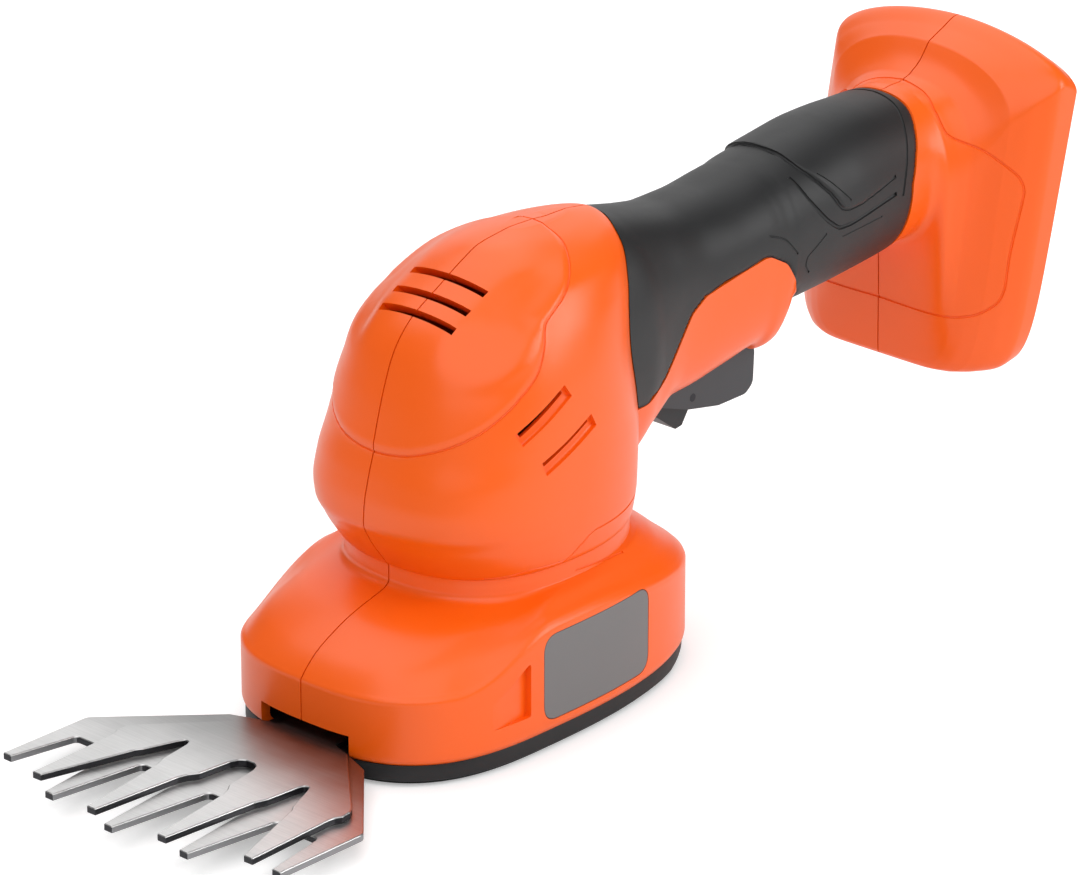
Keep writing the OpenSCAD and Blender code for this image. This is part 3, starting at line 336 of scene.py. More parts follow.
# body
body = {"baseFront": 50, "baseRear": 82, "baseW": 86, "soleH": 6.2, "towerH": 128.7, "length": 223,
        "gripW": 42, "footW": 80, "footZ": 48.2, "footH": 94.6, "wall": 3, "gripT": 1.6, "partGap": 0.42}

# height, front, rear, half width, widest place, two exponents, flank lift, inner skin in and down
towerShares = [
    (0, 0.972, 0.988, 0.981, 0.38, 2.8, 2.6, 0, 1, 0),
    (0.015, 1, 1, 1, 0.38, 2.8, 2.6, 0, 1, 0),
    (0.148, 1, 1, 1, 0.38, 2.8, 2.6, 0.084, 1, 0),
    (0.159, 0.984, 0.988, 0.977, 0.38, 2.75, 2.6, 0.086, 0.7, 0.7),
    (0.1984, 0.884, 0.933, 0.921, 0.39, 2.7, 2.5, 0.062, 0.5, 0.9),
    (0.2482, 0.644, 0.866, 0.856, 0.42, 2.6, 2.3, 0.031, 0.5, 0.9),
    (0.2841, 0.356, 0.799, 0.795, 0.46, 2.5, 2.2, 0.007, 0.8, 0.8),
    (0.2955, 0.332, 0.78, 0.781, 0.46, 2.5, 2.1, 0.001, 1, 0),
    (0.3298, 0.332, 0.78, 0.781, 0.46, 2.5, 2.1, 0, 1, 0),
    (0.3412, 0.352, 0.785, 0.805, 0.46, 2.5, 2.1, 0, 0.9, -0.4),
    (0.4098, 0.472, 0.799, 0.842, 0.48, 2.5, 2.1, 0, 0.9, -0.3),
    (0.4522, 0.518, 0.799, 0.851, 0.49, 2.65, 2.1, 0, 1, 0),
    (0.4922, 0.512, 0.799, 0.856, 0.49, 2.75, 2.1, 0, 1, 0),
    (0.5478, 0.482, 0.799, 0.853, 0.49, 2.7, 2.1, 0, 1, 0),
    (0.618, 0.43, 0.785, 0.842, 0.49, 2.5, 2.1, 0, 1, 0),
    (0.7322, 0.35, 0.768, 0.795, 0.49, 2.35, 2.1, 0, 1, 0.2),
    (0.8163, 0.266, 0.785, 0.733, 0.48, 2.25, 2.1, 0, 0.9, 0.4),
    (0.8743, 0.144, 0.799, 0.67, 0.46, 2.2, 2.1, 0, 0.8, 0.6),
    (0.9273, -0.078, 0.793, 0.581, 0.44, 2.2, 2.1, 0, 0.7, 0.8),
    (0.9657, -0.25, 0.78, 0.419, 0.44, 2.3, 2.1, 0, 0.5, 0.9),
    (0.9878, -0.376, 0.744, 0.256, 0.45, 2.2, 2, 0, 0.4, 1),
    (1, -0.6, 0.64, 0.093, 0.45, 2.2, 2, 0, 0.3, 1)]
# top point, bottom point, half width, widest place, inner exponent
handleShares = [
    (0.197, 0.99, 0.233, 0.373, 1.243, 0.43, 2),
    (0.26, 0.985, 0.287, 0.392, 1.19, 0.43, 2),
    (0.296, 0.972, 0.311, 0.434, 1.105, 0.42, 2.2),
    (0.327, 0.96, 0.327, 0.475, 1.048, 0.41, 2.6),
    (0.359, 0.948, 0.359, 0.519, 0.995, 0.39, 3),
    (0.408, 0.937, 0.408, 0.53, 0.957, 0.38, 3.2),
    (0.462, 0.938, 0.462, 0.546, 0.948, 0.37, 3.2),
    (0.516, 0.949, 0.516, 0.563, 0.952, 0.38, 3.2),
    (0.534, 0.954, 0.534, 0.546, 0.957, 0.38, 3),
    (0.546, 0.957, 0.546, 0.545, 0.961, 0.39, 2.8),
    (0.556, 0.96, 0.556, 0.56, 0.964, 0.4, 2.6),
    (0.566, 0.963, 0.566, 0.602, 0.967, 0.42, 2.4),
    (0.583, 0.968, 0.583, 0.619, 0.972, 0.44, 2.3),
    (0.607, 0.975, 0.607, 0.624, 0.982, 0.46, 2.3),
    (0.637, 0.983, 0.637, 0.626, 0.995, 0.48, 2.2),
    (0.695, 0.997, 0.695, 0.634, 1, 0.49, 2.2),
    (0.753, 1.004, 0.753, 0.644, 1, 0.49, 2.2),
    (0.812, 1.002, 0.812, 0.66, 0.976, 0.49, 2.2),
    (0.83, 1, 0.823, 0.645, 1, 0.49, 2.3)]
# top point, bottom point, half width, widest place, two exponents, inner skin in
footShares = [
    (0.843, 0.854, 0.827, 0.209, 0.563, 0.45, 2.2, 3, 1),
    (0.857, 0.854, 0.828, 0.061, 0.588, 0.36, 2.4, 4.6, 1),
    (0.879, 0.866, 0.829, 0.012, 0.64, 0.29, 2.4, 7, 1),
    (0.897, 0.894, 0.833, 0, 0.71, 0.24, 2.3, 8, 1),
    (0.917, 0.949, 0.843, -0.006, 0.81, 0.19, 2.1, 9, 0.8),
    (0.942, 0.974, 0.86, -0.008, 0.93, 0.15, 1.9, 9, 0.5),
    (0.972, 1, 0.883, -0.008, 1.02, 0.13, 1.85, 9, 0.2),
    (1, 0.958, 0.904, 0.002, 1.025, 0.12, 1.85, 9, 0)]
# the rubber's edge, seen from the side
gripShares = [
    (0.2, 1.06), (0.827, 1.06), (0.821, 0.983), (0.806, 0.945), (0.789, 0.89), (0.779, 0.84),
    (0.772, 0.56), (0.5955, 0.56), (0.588, 0.64), (0.58, 0.678), (0.568, 0.699), (0.541, 0.768),
    (0.508, 0.8), (0.466, 0.789), (0.39, 0.768), (0.362, 0.742), (0.33, 0.672), (0.308, 0.622),
    (0.272, 0.59), (0.2, 0.59)]


# Sections of the head from its shares, each level and moved in by the inset.
def towerKeys(inset):
    t = np.array(towerShares).T
    z = body["soleH"] + (body["towerH"] - body["soleH"]) * t[0] - inset * t[9]
    front = -body["baseFront"] * t[1] + inset * t[8]
    rear = body["baseRear"] * t[2] - inset * t[8]
    half = body["baseW"] / 2 * t[3] - inset * t[8] * 0.95
    return np.stack([front, z, rear, z, half, t[4], t[5], t[6], body["towerH"] * t[7]], 1)


# Sections of the handle and foot from their shares, moved in by the inset.
def armKeys(inset):
    h, f = np.array(handleShares).T, np.array(footShares).T
    long, high, footZ, footH = body["length"], body["towerH"], body["footZ"], body["footH"]
    handle = np.stack([long * h[0], high * h[1] - inset, long * h[2], high * h[3] + inset,
                       body["gripW"] / 2 * h[4] - inset, h[5], 0 * h[0] + 2.2, h[6], 0 * h[0]], 1)
    foot = np.stack([long * f[0] + inset * 0.5 * f[8], footZ + footH * f[1] - inset,
                     long * f[2] + inset * f[8], footZ + footH * f[3] + inset,
                     body["footW"] / 2 * f[4] - inset, f[5], f[6], f[7], 0 * f[0]], 1)
    return np.concatenate([handle, foot])


towerAngles = evenAngles(2.6, 2.2, 56)
armAngles = evenAngles(2.4, 3.2, 50)
plainAngles = np.linspace(0, 2 * np.pi, 64, endpoint=False)


# Shares of length and height turned into a side view.
def side(shares):
    return np.array(shares) * (body["length"], body["towerH"])


# Head, neck and base. The cap over its front and crown stands a little proud inside a fine line, the cap's
# flank has a soft ledge with a valley below the crown, and a low rim stands where the grip begins.
head = {"capLine": [(-21.8, 0, 80.9), (-20.9, -8.8, 81.8), (-17.9, -17.9, 84.3), (-12.7, -24.8, 87.8),
                    (-6.9, -28.6, 91.3), (-0.1, -30.8, 96.1), (7.6, -31.2, 102), (11.6, -29.6, 107.5),
                    (14.6, -27.6, 113.3), (24.2, -25.2, 118.6), (33, -19, 124), (38, -10.5, 127.4),
                    (39.4, 0, 128.7)],
        "capRise": 0.7, "capSoft": (-0.2, 1.1), "capZ": (70, 78),
        "valley": [(-16, 104.5), (-7.5, 108), (6.2, 115.6), (18, 118.9), (30, 119.5)], "valleyDeep": 1.7,
        "valleyIn": ((11, 18), (0, 6), (-14, -4), (98, 106)), "ledge": (0.6, -9, 6), "dip": (0.8, 0, 5),
        "rim": [(64, 126), (56.7, 122.2), (52.9, 108.4), (52.7, 94.7), (54.7, 83.9)], "rimRise": 0.5,
        "rimWide": 1.3, "rimZ": (80, 90),
        "lowLine": [(-8, -26.5, 47.6), (4, -33, 48.8), (14, -34.6, 48.4), (20.5, -35.4, 51.7),
                    (26, -35.4, 54.2), (46, -29.6, 54), (60, -17, 55.5)],
        "rimLine": [(20, -33.6, 43.6), (30.5, -33, 42.6), (41, -31.6, 41.6)]}


# The head's plain skin, moved in by the inset.
def towerSkin(inset):
    return sectionSkin(evenRows(smoothRows(towerKeys(inset), 24), 210), towerAngles)


# A bell curve of the given height, middle and width.
def bell(a, high, middle, wide):
    return high * np.exp(-((a - middle) / wide) ** 2)


# The head's skin moved along its normals by the cap's step, the ledge and valley, and the rim.
def dressTower(grid):
    x, y, z = np.moveaxis(grid, -1, 0)
    cap = lineDistance(x, z, [(p[0], p[2]) for p in head["capLine"]])
    rise = head["capRise"] * ease(cap, *head["capSoft"]) * ease(z, *head["capZ"])
    valley = lineDistance(x, z, head["valley"])
    reach = 1
    for a, span in zip((np.abs(y), cap, x, z), head["valleyIn"]):
        reach = reach * ease(a, *span)
    rise += reach * head["valleyDeep"] * (bell(valley, *head["ledge"]) - bell(valley, *head["dip"]))
    rim = lineDistance(x, z, head["rim"])
    rise += bell(rim, head["rimRise"], 0, head["rimWide"]) * ease(z, *head["rimZ"])
    return grid + skinNormals(grid) * rise[..., None]


outer = ringSkin("towerForm", dressTower(towerSkin(0)))
towerCore = ringSkin("towerCore", towerSkin(-0.25))
towerBlock = ringSkin("towerBlock", towerSkin(0))
hollow = sectionSkin(smoothRows(towerKeys(body["wall"]), 2), plainAngles)
hollow = ringSkin("towerHollow", np.concatenate([hollow[:1] - (0, 0, 1), hollow]))
print("head formed")


# The foot's rows are smoothed in three runs, so that a crease stays where two runs meet.
def armSkin(inset):
    keys, runs = armKeys(inset), ((0, 21, 170), (21, 23, 24), (23, 26, 60))
    rows = [evenRows(smoothRows(keys[a:b + 1], 24), count)[a > 0:] for a, b, count in runs]
    return sectionSkin(np.concatenate(rows), armAngles)


arm = ringSkin("armForm", armSkin(0))
armCore = ringSkin("armCore", armSkin(body["gripT"]))
armFloor = ringSkin("armFloor", armSkin(body["gripT"] - 0.1))
hollowRows = smoothRows(armKeys(body["wall"]), 2)
hollowRows[-1, [0, 2]] += 6  # open at the back
armHollow = ringSkin("armHollow", sectionSkin(hollowRows, plainAngles))

# the foot's back plane: u leans out of it, v runs up along it
footEnd = armKeys(0)[-1]
footTilt = math.atan2(footEnd[0] - footEnd[2], footEnd[1] - footEnd[3])
footUp = math.hypot(footEnd[0] - footEnd[2], footEnd[1] - footEnd[3])
bay = {"deck": (-17, -14), "deckHalf": 40, "railU": (-17, -2), "railAt": (0.34, 0.66), "railHalf": 2,
       "railY": (35, 75), "block": (-20, -6.3), "blockUp": 8.1, "blockHalf": 16.1,
       "tongue": ((-7.5, -1), (-4.6, 3), (-13, 13))}


# A place on the back plane, seen from the side.
def footPoint(u, v):
    return (footEnd[2] + u * math.cos(footTilt) + v * math.sin(footTilt),
            footEnd[3] - u * math.sin(footTilt) + v * math.cos(footTilt))


# A block that stands square to the back plane.
def footBox(name, us, vs, ys):
    return prism(name, [footPoint(us[i], vs[j]) for i, j in ((0, 0), (1, 0), (1, 1), (0, 1))], *ys)


# screws: x, z and the depth of each head's seat
screws = [(-33.6, 21.27, 21.8), (71.28, 23.26, 17.5), (45.56, 116.5, 14.9), (58.27, 60.53, 14.9),
          (84.14, 100.48, 10.6), (149.92, 103.05, 10.6), (192.96, 118.02, 10.6)]
screwFit = {"way": 1.6, "well": 3.3, "post": 4.6, "end": -12.3}
lever = {"pin": (86.97, 75.93), "top": 81.34, "slotX": (81.62, 122.87), "slotHalf": 8, "pinWay": 2.1,
         "pinEnd": 13.3, "bossR": 4.5}
ribs = {"springSeat": ((89.3, -90, 93.34), (100.3, 90, 95.84)),
        "switchLeft": ((110, -95, 85.7), (122, -5.5, 101.1)), "switchRight": ((110, 5.5, 85.7), (122, 95, 101.1))}

# hollow with the bay's deck and rails, the screw posts and the ribs left standing
boolean(hollow, armHollow, "UNION")
boolean(hollow, footBox("deck", bay["deck"], (0, footUp), about(0, bay["deckHalf"])))
railIn, railOut = bay["railY"]
rails = [footBox("rail", bay["railU"], about(v * footUp, bay["railHalf"]), ys)
         for v in bay["railAt"] for ys in ((-railOut, -railIn), (railIn, railOut))]
boolean(hollow, joined("rails", rails))
slotHalf = lever["slotHalf"]
drill(hollow, [(x, z, screwFit["post"], -90, 90) for x, z, deep in screws]
      + [(*lever["pin"], lever["bossR"], *ys) for ys in ((-90, -slotHalf), (slotHalf, 90))])
boolean(hollow, joined("ribs", [box(name, *corners) for name, corners in ribs.items()]))

boolean(outer, arm, "UNION")
outerTree = treeOf(outer)
print("outside joined,", len(outer.data.polygons), "faces")


# Fine lines, each with its places, width and depth, cut into both flanks of a skin.
def groove(obj, tree, lines):
    for places, width, depth in lines:
        for flank in (1, -1):
            path, normals = lineOn(tree, np.array(places) * (1, flank, 1))
            boolean(obj, channel("groove", path, normals, width, depth))


footLine = [(183.5, 0, 66), (186.6, -23.6, 65.4), (190, -28.9, 66), (195.4, -34.6, 70.2), (197, -35.7, 74.3),
            (198.4, -36, 83.4), (203, -36.9, 102), (202.6, -36, 105.4), (196.7, -28.3, 113.2),
            (189.1, -19.1, 119.2), (189.5, -14.9, 124.3), (191.3, -10.1, 127.8), (193, 0, 129.7)]
groove(outer, outerTree, [(head["capLine"], 0.75, 0.4), (head["lowLine"], 0.7, 0.35), (head["rimLine"], 0.7, 0.35),
                          (footLine, 0.8, 0.45)])
print("lines cut")

boolean(outer, hollow)
boolean(outer, footBox("tongue", *bay["tongue"]), "UNION")
gripOutline = filletOutline(side(gripShares), 6, 5)
room = prism("gripRoom", gripOutline, -200, 200)
boolean(room, armCore)
boolean(room, towerBlock)
boolean(outer, room)

# mouth for the blades, slot for the trigger, block, pin and screw ways
mouth = ((-90, -16.25, 5.2), (-25, 16.25, 13))
boolean(outer, box("mouth", *mouth))
boolean(outer, box("leverSlot", (lever["slotX"][0], -slotHalf, 0), (lever["slotX"][1], slotHalf, lever["top"])))
boolean(outer, footBox("blockWay", bay["block"], about(footUp / 2, bay["blockUp"]), about(0, bay["blockHalf"])))
drill(outer, [(x, z, screwFit["way"], screwFit["end"], deep + 1) for x, z, deep in screws]
      + [(*lever["pin"], lever["pinWay"], *about(0, lever["pinEnd"]))])
drill(outer, [(x, z, screwFit["well"], deep, 120) for x, z, deep in screws])

# three bowed slots through the brow, and two slanted channels with a slit on each flank
vents = {"brow": [(6.6, 121.7), (0.2, 118), (-5.4, 114.7)], "wide": 2.3, "deep": 7, "half": 13.4, "bow": 0.3,
         "droop": 1.3, "lean": 40, "flank": [((-0.8, 86.6), (16.6, 95.9)), ((6, 77), (24.6, 85.6))],
         "flankY": (33, 34), "channel": (4, 1.5), "slit": (1.9, 8), "slitUp": 0.9}
lean = math.radians(vents["lean"])
y = np.linspace(-vents["half"], vents["half"], 41)
f = (y / vents["half"]) ** 2
for x, z in vents["brow"]:
    path = np.stack([x + vents["bow"] * f, y, z - vents["droop"] * f], -1)
    up = np.broadcast_to((-math.sin(lean), 0, math.cos(lean)), path.shape)
    boolean(outer, channel("browVent", path, up, vents["wide"], vents["deep"], 24, 6))
endY, midY = vents["flankY"]
for low, high in vents["flank"]:
    mid = ((low[0] + high[0]) / 2, (low[1] + high[1]) / 2)
    for s in (-1, 1):
        path, normals = lineOn(outerTree, [(low[0], s * endY, low[1]), (mid[0], s * midY, mid[1]),
                                           (high[0], s * endY, high[1])])
        boolean(outer, channel("flankVent", path, normals, *vents["channel"], 20, 5))
        across = unit(np.cross(np.gradient(path, axis=0), normals))
        across *= np.sign(across[:, 2:3])
        slit = (path + across * vents["slitUp"])[1:-1]
        boolean(outer, channel("flankSlit", slit, normals[1:-1], *vents["slit"], 12, 4))
print("vents cut")

# bare plate on each flank, let into the wall and standing flush
plate = {"x": (-2.21, 41.98), "z": (9.35, 33.87), "r": 5, "deep": 1.0, "gap": 0.2, "slack": 0.05, "edge": 0.35}


# The base's upright wall seen from above, moved in by the inset.
def wallPlan(inset):
    row = towerKeys(0)[1:2].copy()
    row[0, [0, 2, 4]] += (inset, -inset, -inset)
    row[0, 8] = 0
    return sectionSkin(row, evenAngles(2.8, 2.6, 55))[0][:, :2]


# A rounded rectangle carried across the body, kept only within the wall's outer layer.
def plateForm(name, proud, deep, grow):
    (x0, x1), (z0, z1) = plate["x"], plate["z"]
    corners = [(x0 - grow, z0 - grow), (x1 + grow, z0 - grow), (x1 + grow, z1 + grow), (x0 - grow, z1 + grow)]
    form = prism(name, filletOutline(corners, plate["r"] + grow, 10), -80, 80)
    boolean(form, prism("wallOut", wallPlan(-proud), 0, 60, True), "INTERSECT")
    boolean(form, prism("wallIn", wallPlan(deep), -5, 65, True))
    return form


boolean(outer, plateForm("plateRoom", 1, plate["deep"], plate["gap"]))

# sunk panel in front of the plate: deepest beside it, its floor running out to the wall's face
panel = {"outline": [(-7.3, 12.9), (-7.3, 28.6), (-20.6, 20.2), (-20.6, 12.9)], "deep": 2.0, "r": 0.8}
wallFace, wallDeep = wallPlan(0), wallPlan(panel["deep"])
panelRear, panelFront = panel["outline"][0][0], panel["outline"][-1][0]
share = np.clip((wallFace[:, :1] - panelFront) / (panelRear - panelFront), 0, 1)
panelRoom = prism("panelRoom", filletOutline(panel["outline"], panel["r"], 4), -80, 80)
boolean(panelRoom, prism("panelFloor", wallFace * (1 - share) + wallDeep * share, -5, 65, True))
boolean(outer, panelRoom)

# the two halves, a fine gap apart
shells = halves(outer, "shellLeft", "shellRight", body["partGap"] / 2)
for shell, node in zip(shells, ("casing_left", "casing_right")):
    smooth(shell)
    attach(shell, "body")
    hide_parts(node)
    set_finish(shell, "casing_plastic")
print("halves", [len(shell.data.polygons) for shell in shells])

plates = halves(plateForm("plates", 0, plate["deep"] - plate["slack"], 0), "plateLeft", "plateRight")
for flat, node in zip(plates, ("badge_left", "badge_right")):
    bevelled(smooth(flat), plate["edge"], 3, 50)
    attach(flat, "body")
    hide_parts(node)
    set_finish(flat, "plate_grey")

# rubber grip
# The rear part stands proud behind a step that runs over the top and down each flank in a chevron.
grip = {"step": [(131, 4, 125.4), (131.2, -4, 125.3), (132, -11.2, 122.9), (139.7, -18.4, 114.3),
                 (143.2, -20.6, 109.2), (146.1, -20.7, 108.5), (151, -20.7, 108.9), (166, -20.4, 112.5)],
        "stepEnds": ((131.2, 140), (190, 118)), "rise": 0.9, "riseZ": (104, 110), "fadeX": (150, 172),
        "edge": 1.1, "roll": 1.3, "gap": 0.15,
        "lines": [([(128.4, -13, 119.9), (131, -18.5, 114.4), (137.7, -20.6, 106.6), (142.5, -20.5, 103.8),
                    (146.1, -20.8, 103.8), (166, -20.3, 107.4)], 1.3, 0.7),
                  ([(136.8, -16, 119.8), (146, -20.5, 110.8)], 0.5, 0.3),
                  ([(143, -20.6, 101), (160, -20.7, 102.3)], 0.5, 0.25),
                  ([(136.4, -20.6, 103.6), (133, -20.3, 101.2), (128.9, -20.2, 98), (128.8, -20.1, 96),
                    (131.2, -19.6, 92.8)], 0.6, 0.3),
                  ([(113.6, -19.5, 108.8), (119.1, -19.8, 106.5), (124.8, -20.2, 100.7)], 0.6, 0.3),
                  ([(180.4, 0, 130), (179.2, -8, 128.2), (176.8, -13.8, 125.3), (174, -17.7, 120.4),
                    (169.9, -20.7, 110.7), (168.8, -20.6, 106)], 0.9, 0.5)]}
gripEdge = insetOutline(gripOutline, grip["gap"])


# The handle's skin, raised behind the step and rolled down in a quarter round towards the rubber's edge.
def gripSkin():
    grid = sectionSkin(evenRows(smoothRows(armKeys(0)[:21], 40), 380), evenAngles(2.4, 3.2, 64))
    x, z = grid[..., 0], grid[..., 2]
    above, beyond = grip["stepEnds"]
    behind = lineDistance(x, z, [above] + [(p[0], p[2]) for p in grip["step"][1:]] + [beyond])
    rise = grip["rise"] * ease(behind, -0.5, 0.4) * ease(z, *grip["riseZ"]) * (1 - ease(x, *grip["fadeX"]))
    away = np.abs(lineDistance(x, z, np.concatenate([gripEdge, gripEdge[:1]])))
    drop = grip["edge"] * (1 - np.sqrt(1 - (1 - np.clip(away / grip["roll"], 0, 1)) ** 2))
    return grid + skinNormals(grid) * (rise - drop)[..., None]


rubber = ringSkin("gripForm", gripSkin())
rubberTree = treeOf(rubber)
boolean(rubber, prism("gripCut", gripEdge, -200, 200), "INTERSECT")
boolean(rubber, armFloor)
boolean(rubber, towerCore)
groove(rubber, rubberTree, [(grip["step"], 1.1, 0.5)] + grip["lines"])
drill(rubber, [(x, z, screwFit["well"], 5, 120) for x, z, deep in screws[4:6]])
rubbers = halves(rubber, "rubberLeft", "rubberRight")
for skin, node in zip(rubbers, ("grip_left", "grip_right")):
    smooth(skin, 40)
    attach(skin, "body")
    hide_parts(node)
    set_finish(skin, "grip_rubber")
print("grip", len(rubbers[0].data.polygons))

# sole
# The base's plan carried down: a band under the casing, a step, then a lower pad that is cut up at the back.
sole = {"in": 2.2, "slack": 0.05, "rise": (57.4, 76.3, 4.6), "wellZ": 3.2,
        "legs": [(4, 26), (4, -26), (53.08, 22.48), (53.08, -22.48)],
        "bladeSeat": ((-90, -14.9, 5.5), (35.4, 14.9, 20)),
        "seats": [(0, 6.8, 3.2), (26, 3.05, 2.2), (47.6, 3.55, 2.2)],
        "pegs": [(-24, -9), (-24, 9)], "pegR": 2, "pegZ": (5.5, 7.4), "pegGap": 0.05}


def soleSkin():
    # each ring's share of the height and how far it lies in
    share = np.array([0, 0, 0.05, 0.16, 0.26, 0.26, 0.30, 0.40, 0.93, 1.0, 1.0])
    inset = np.array([6, 0.9, 0.30, 0, 0, -1.15, -1.4, -1.4, -1.4, -1.2, 6]) + sole["in"]
    plan = np.stack([wallPlan(i) for i in inset])
    x0, x1, top = sole["rise"]
    floor = np.clip((plan[..., 0] - x0) / (x1 - x0), 0, 1) * top
    z = floor + (body["soleH"] - sole["slack"] - floor) * share[:, None]
    return np.concatenate([plan, z[..., None]], -1)


soleForm = outward(ringSkin("soleForm", soleSkin(), True))
boolean(soleForm, box("bladeSeat", *sole["bladeSeat"]))
drill(soleForm, [(x, y, screwFit["way"], -5, 20) for x, y in sole["legs"]], True)
drill(soleForm, [(x, y, screwFit["well"], -5, sole["wellZ"]) for x, y in sole["legs"]], True)
drill(soleForm, [(x, 0, radius, z, 20) for x, radius, z in sole["seats"]], True)
smooth(soleForm, 30)
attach(soleForm, "body")
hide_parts("sole_plate")
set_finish(soleForm, "sole_plastic")
pegs = [prism("peg", disc(x, y, sole["pegR"]), *sole["pegZ"], True) for x, y in sole["pegs"]]
pegs = smooth(joined("solePegs", pegs))
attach(pegs, "body")
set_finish(pegs, "sole_plastic")
print("sole")

# blades
blade = {"reach": 120, "pitch": 25, "tip": 3, "root": 10.4, "rootX": 89, "short": 1, "t": 2, "lowZ": 5.5,
         "highZ": 7.6, "rest": 2.4, "grind": 0.3, "burr": 0.10, "pivot": 4.05, "camHole": 3.3,
         "tail": (35, 14.5), "neckX": -48, "shoulder": (0.433, 0.485), "corner": 0.66,
         "midSlot": [(-72, 1.2), (-73, 3), (-75.4, 4), (-85.6, 5.3), (-88.2, 7), (-91, 7.9)],
         "sideSlot": [(-89, 17.4), (-85.5, 18.7), (-75.2, 19.9), (-73.6, 20.6), (-73.3, 22), (-74.9, 22.9),
                      (-84.4, 26.5), (-86.3, 27.8), (-89.4, 28.7)],
         "flank": [(-84.3, 38.9), (-82.3, 39.2), (-80.5, 40.2), (-77.2, 39.9), (-75.2, 38.7)]}
# the eccentric and the fork that runs on it
drive = {"x": 26, "swing": 6, "pegR": 6, "gap": 1, "slack": 0.6, "arm": 3.6, "end": 32}


# The two corners of a tooth's tip, where its y meets an arc about the pivot.
def tip(reach, y):
    x = -math.sqrt(reach * reach - y * y)
    return [(x, y - blade["tip"] / 2), (x, y + blade["tip"] / 2)]


# The fixed blade: tail, neck, shoulder and corner, five teeth between, and each corner's radius.
def lowerOutline():
    b = blade
    ys = [k * b["pitch"] for k in (-2, -1, 0, 1, 2)]
    edge = ys[4] + b["tip"] / 2
    shoulder = (-b["reach"] * b["shoulder"][0], edge * b["shoulder"][1])
    side = [(-b["reach"] * b["corner"], edge), shoulder, (b["neckX"], b["tail"][1]), b["tail"]]
    teeth = [p for y in ys for p in ((-b["rootX"], y - b["root"] / 2), *tip(b["reach"], y),
                                     (-b["rootX"], y + b["root"] / 2))][1:-1]
    bends = [3.0, 0.8, 1.6, 0.5]
    radius = bends[::-1] + [0.25 if k % 4 in (0, 1) else 1.9 for k in range(len(teeth))] + bends
    return np.array([(x, -y) for x, y in side[::-1]] + teeth + side), np.array(radius)


# One half of the moving blade from the middle slot round to the fork, then the same mirrored.
def upperOutline():
    b, d = blade, drive
    reach, throw, arm = b["reach"] - b["short"], d["x"] * math.sin(math.radians(d["swing"])), d["arm"]
    root, wide = d["x"] - d["pegR"] - throw - d["gap"] - arm, d["pegR"] + 2 * throw + d["slack"]
    half = b["midSlot"] + tip(reach, 0.5 * b["pitch"]) + b["sideSlot"] + tip(reach, 1.5 * b["pitch"]) + b["flank"]
    half += [(-b["reach"] * b["shoulder"][0], 16), (-50, 10), (root - 2 * throw, 10), (root, wide + arm),
             (d["end"], wide + arm), (d["end"], wide), (root + arm, wide)]
    bends = [1.2, 1.2, 1, 1, 1, 1, 0.25, 0.25] + [1] * 9 + [0.25, 0.25] + [1] * 5 + [3, 2, 2, 1, 0.8, 0.8, 1.6]
    return np.array(half + [(x, -y) for x, y in half[::-1]]), np.array(bends + bends[::-1])


# A stamped blade: its outline stands upright, then leans in at the ground edge to the top face.
def bladeForm(name, outline, z, turn):
    b = blade
    points, radius = outline
    c, s = math.cos(math.radians(turn)), math.sin(math.radians(turn))
    spun = points @ np.array([(c, s), (-s, c)])
    levels = [(b["burr"], 0), (0, b["burr"]), (0, b["t"] - b["grind"]), (b["grind"] * 0.5, b["t"] - b["grind"] * 0.3),
              (b["grind"], b["t"])]
    grid = np.stack([np.concatenate([filletOutline(insetOutline(spun, i), radius, 7),
                                     np.full((len(points) * 7, 1), z + h)], 1) for i, h in levels])
    form = outward(ringSkin(name, grid))
    boolean(form, prism("pivotHole", disc(0, 0, b["pivot"], 64), z - 5, z + 8, True))
    return form


lowerForm = bladeForm("fixedBlade", lowerOutline(), blade["lowZ"], 0)
drill(lowerForm, [(drive["x"], 0, blade["camHole"], 0, 20)]
      + [(x, y, sole["pegR"] + sole["pegGap"], 0, 20) for x, y in sole["pegs"]], True)
upperForm = bladeForm("movingBlade", upperOutline(), blade["highZ"], blade["rest"])
for form, node, rider in ((lowerForm, "lower_blade", "body"), (upperForm, "upper_blade", "blade")):
    smooth(form, 25)
    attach(form, rider)
    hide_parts(node)
    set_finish(form, "blade_steel")
print("blades")

# trigger and lock
triggerShares = [(0.374, 0.495), (0.423, 0.466), (0.479, 0.447), (0.53, 0.448), (0.544, 0.466),
                 (0.546, 0.538), (0.538, 0.632), (0.38, 0.632), (0.371, 0.6), (0.372, 0.54)]
lockShares = [(0.3775, 0.466), (0.414, 0.419), (0.426, 0.422), (0.443, 0.466), (0.443, 0.505),
              (0.436, 0.516), (0.42, 0.512), (0.384, 0.486)]
lockSlot = [(0.365, 0.3), (0.458, 0.3), (0.458, 0.536), (0.365, 0.536)]
trigger = {"half": 7.5, "pinWay": 2.05, "edge": 0.9, "bends": [1, 6, 6, 3.5, 3.5, 4, 0.6, 0.6, 1, 1]}
lock = {"half": 4.5, "slotHalf": 4.8, "pin": (96, 63.06), "pinHold": 1.2, "pinWay": 1.25, "edge": 0.5,
        "bends": [0.8, 0.8, 0.8, 3, 2, 2, 2, 1]}
triggerOutline = filletOutline(side(triggerShares), trigger["bends"], 7)
triggerForm = prism("triggerForm", triggerOutline, *about(0, trigger["half"]))
boolean(triggerForm, prism("lockSlot", side(lockSlot), *about(0, lock["slotHalf"])))
drill(triggerForm, [(*lever["pin"], trigger["pinWay"], -20, 20)])
drill(triggerForm, [(*lock["pin"], lock["pinHold"], -20, 20)])
bevelled(smooth(triggerForm, 30), trigger["edge"], 4, 50)
lockForm = prism("lockForm", filletOutline(side(lockShares), lock["bends"], 6), *about(0, lock["half"]))
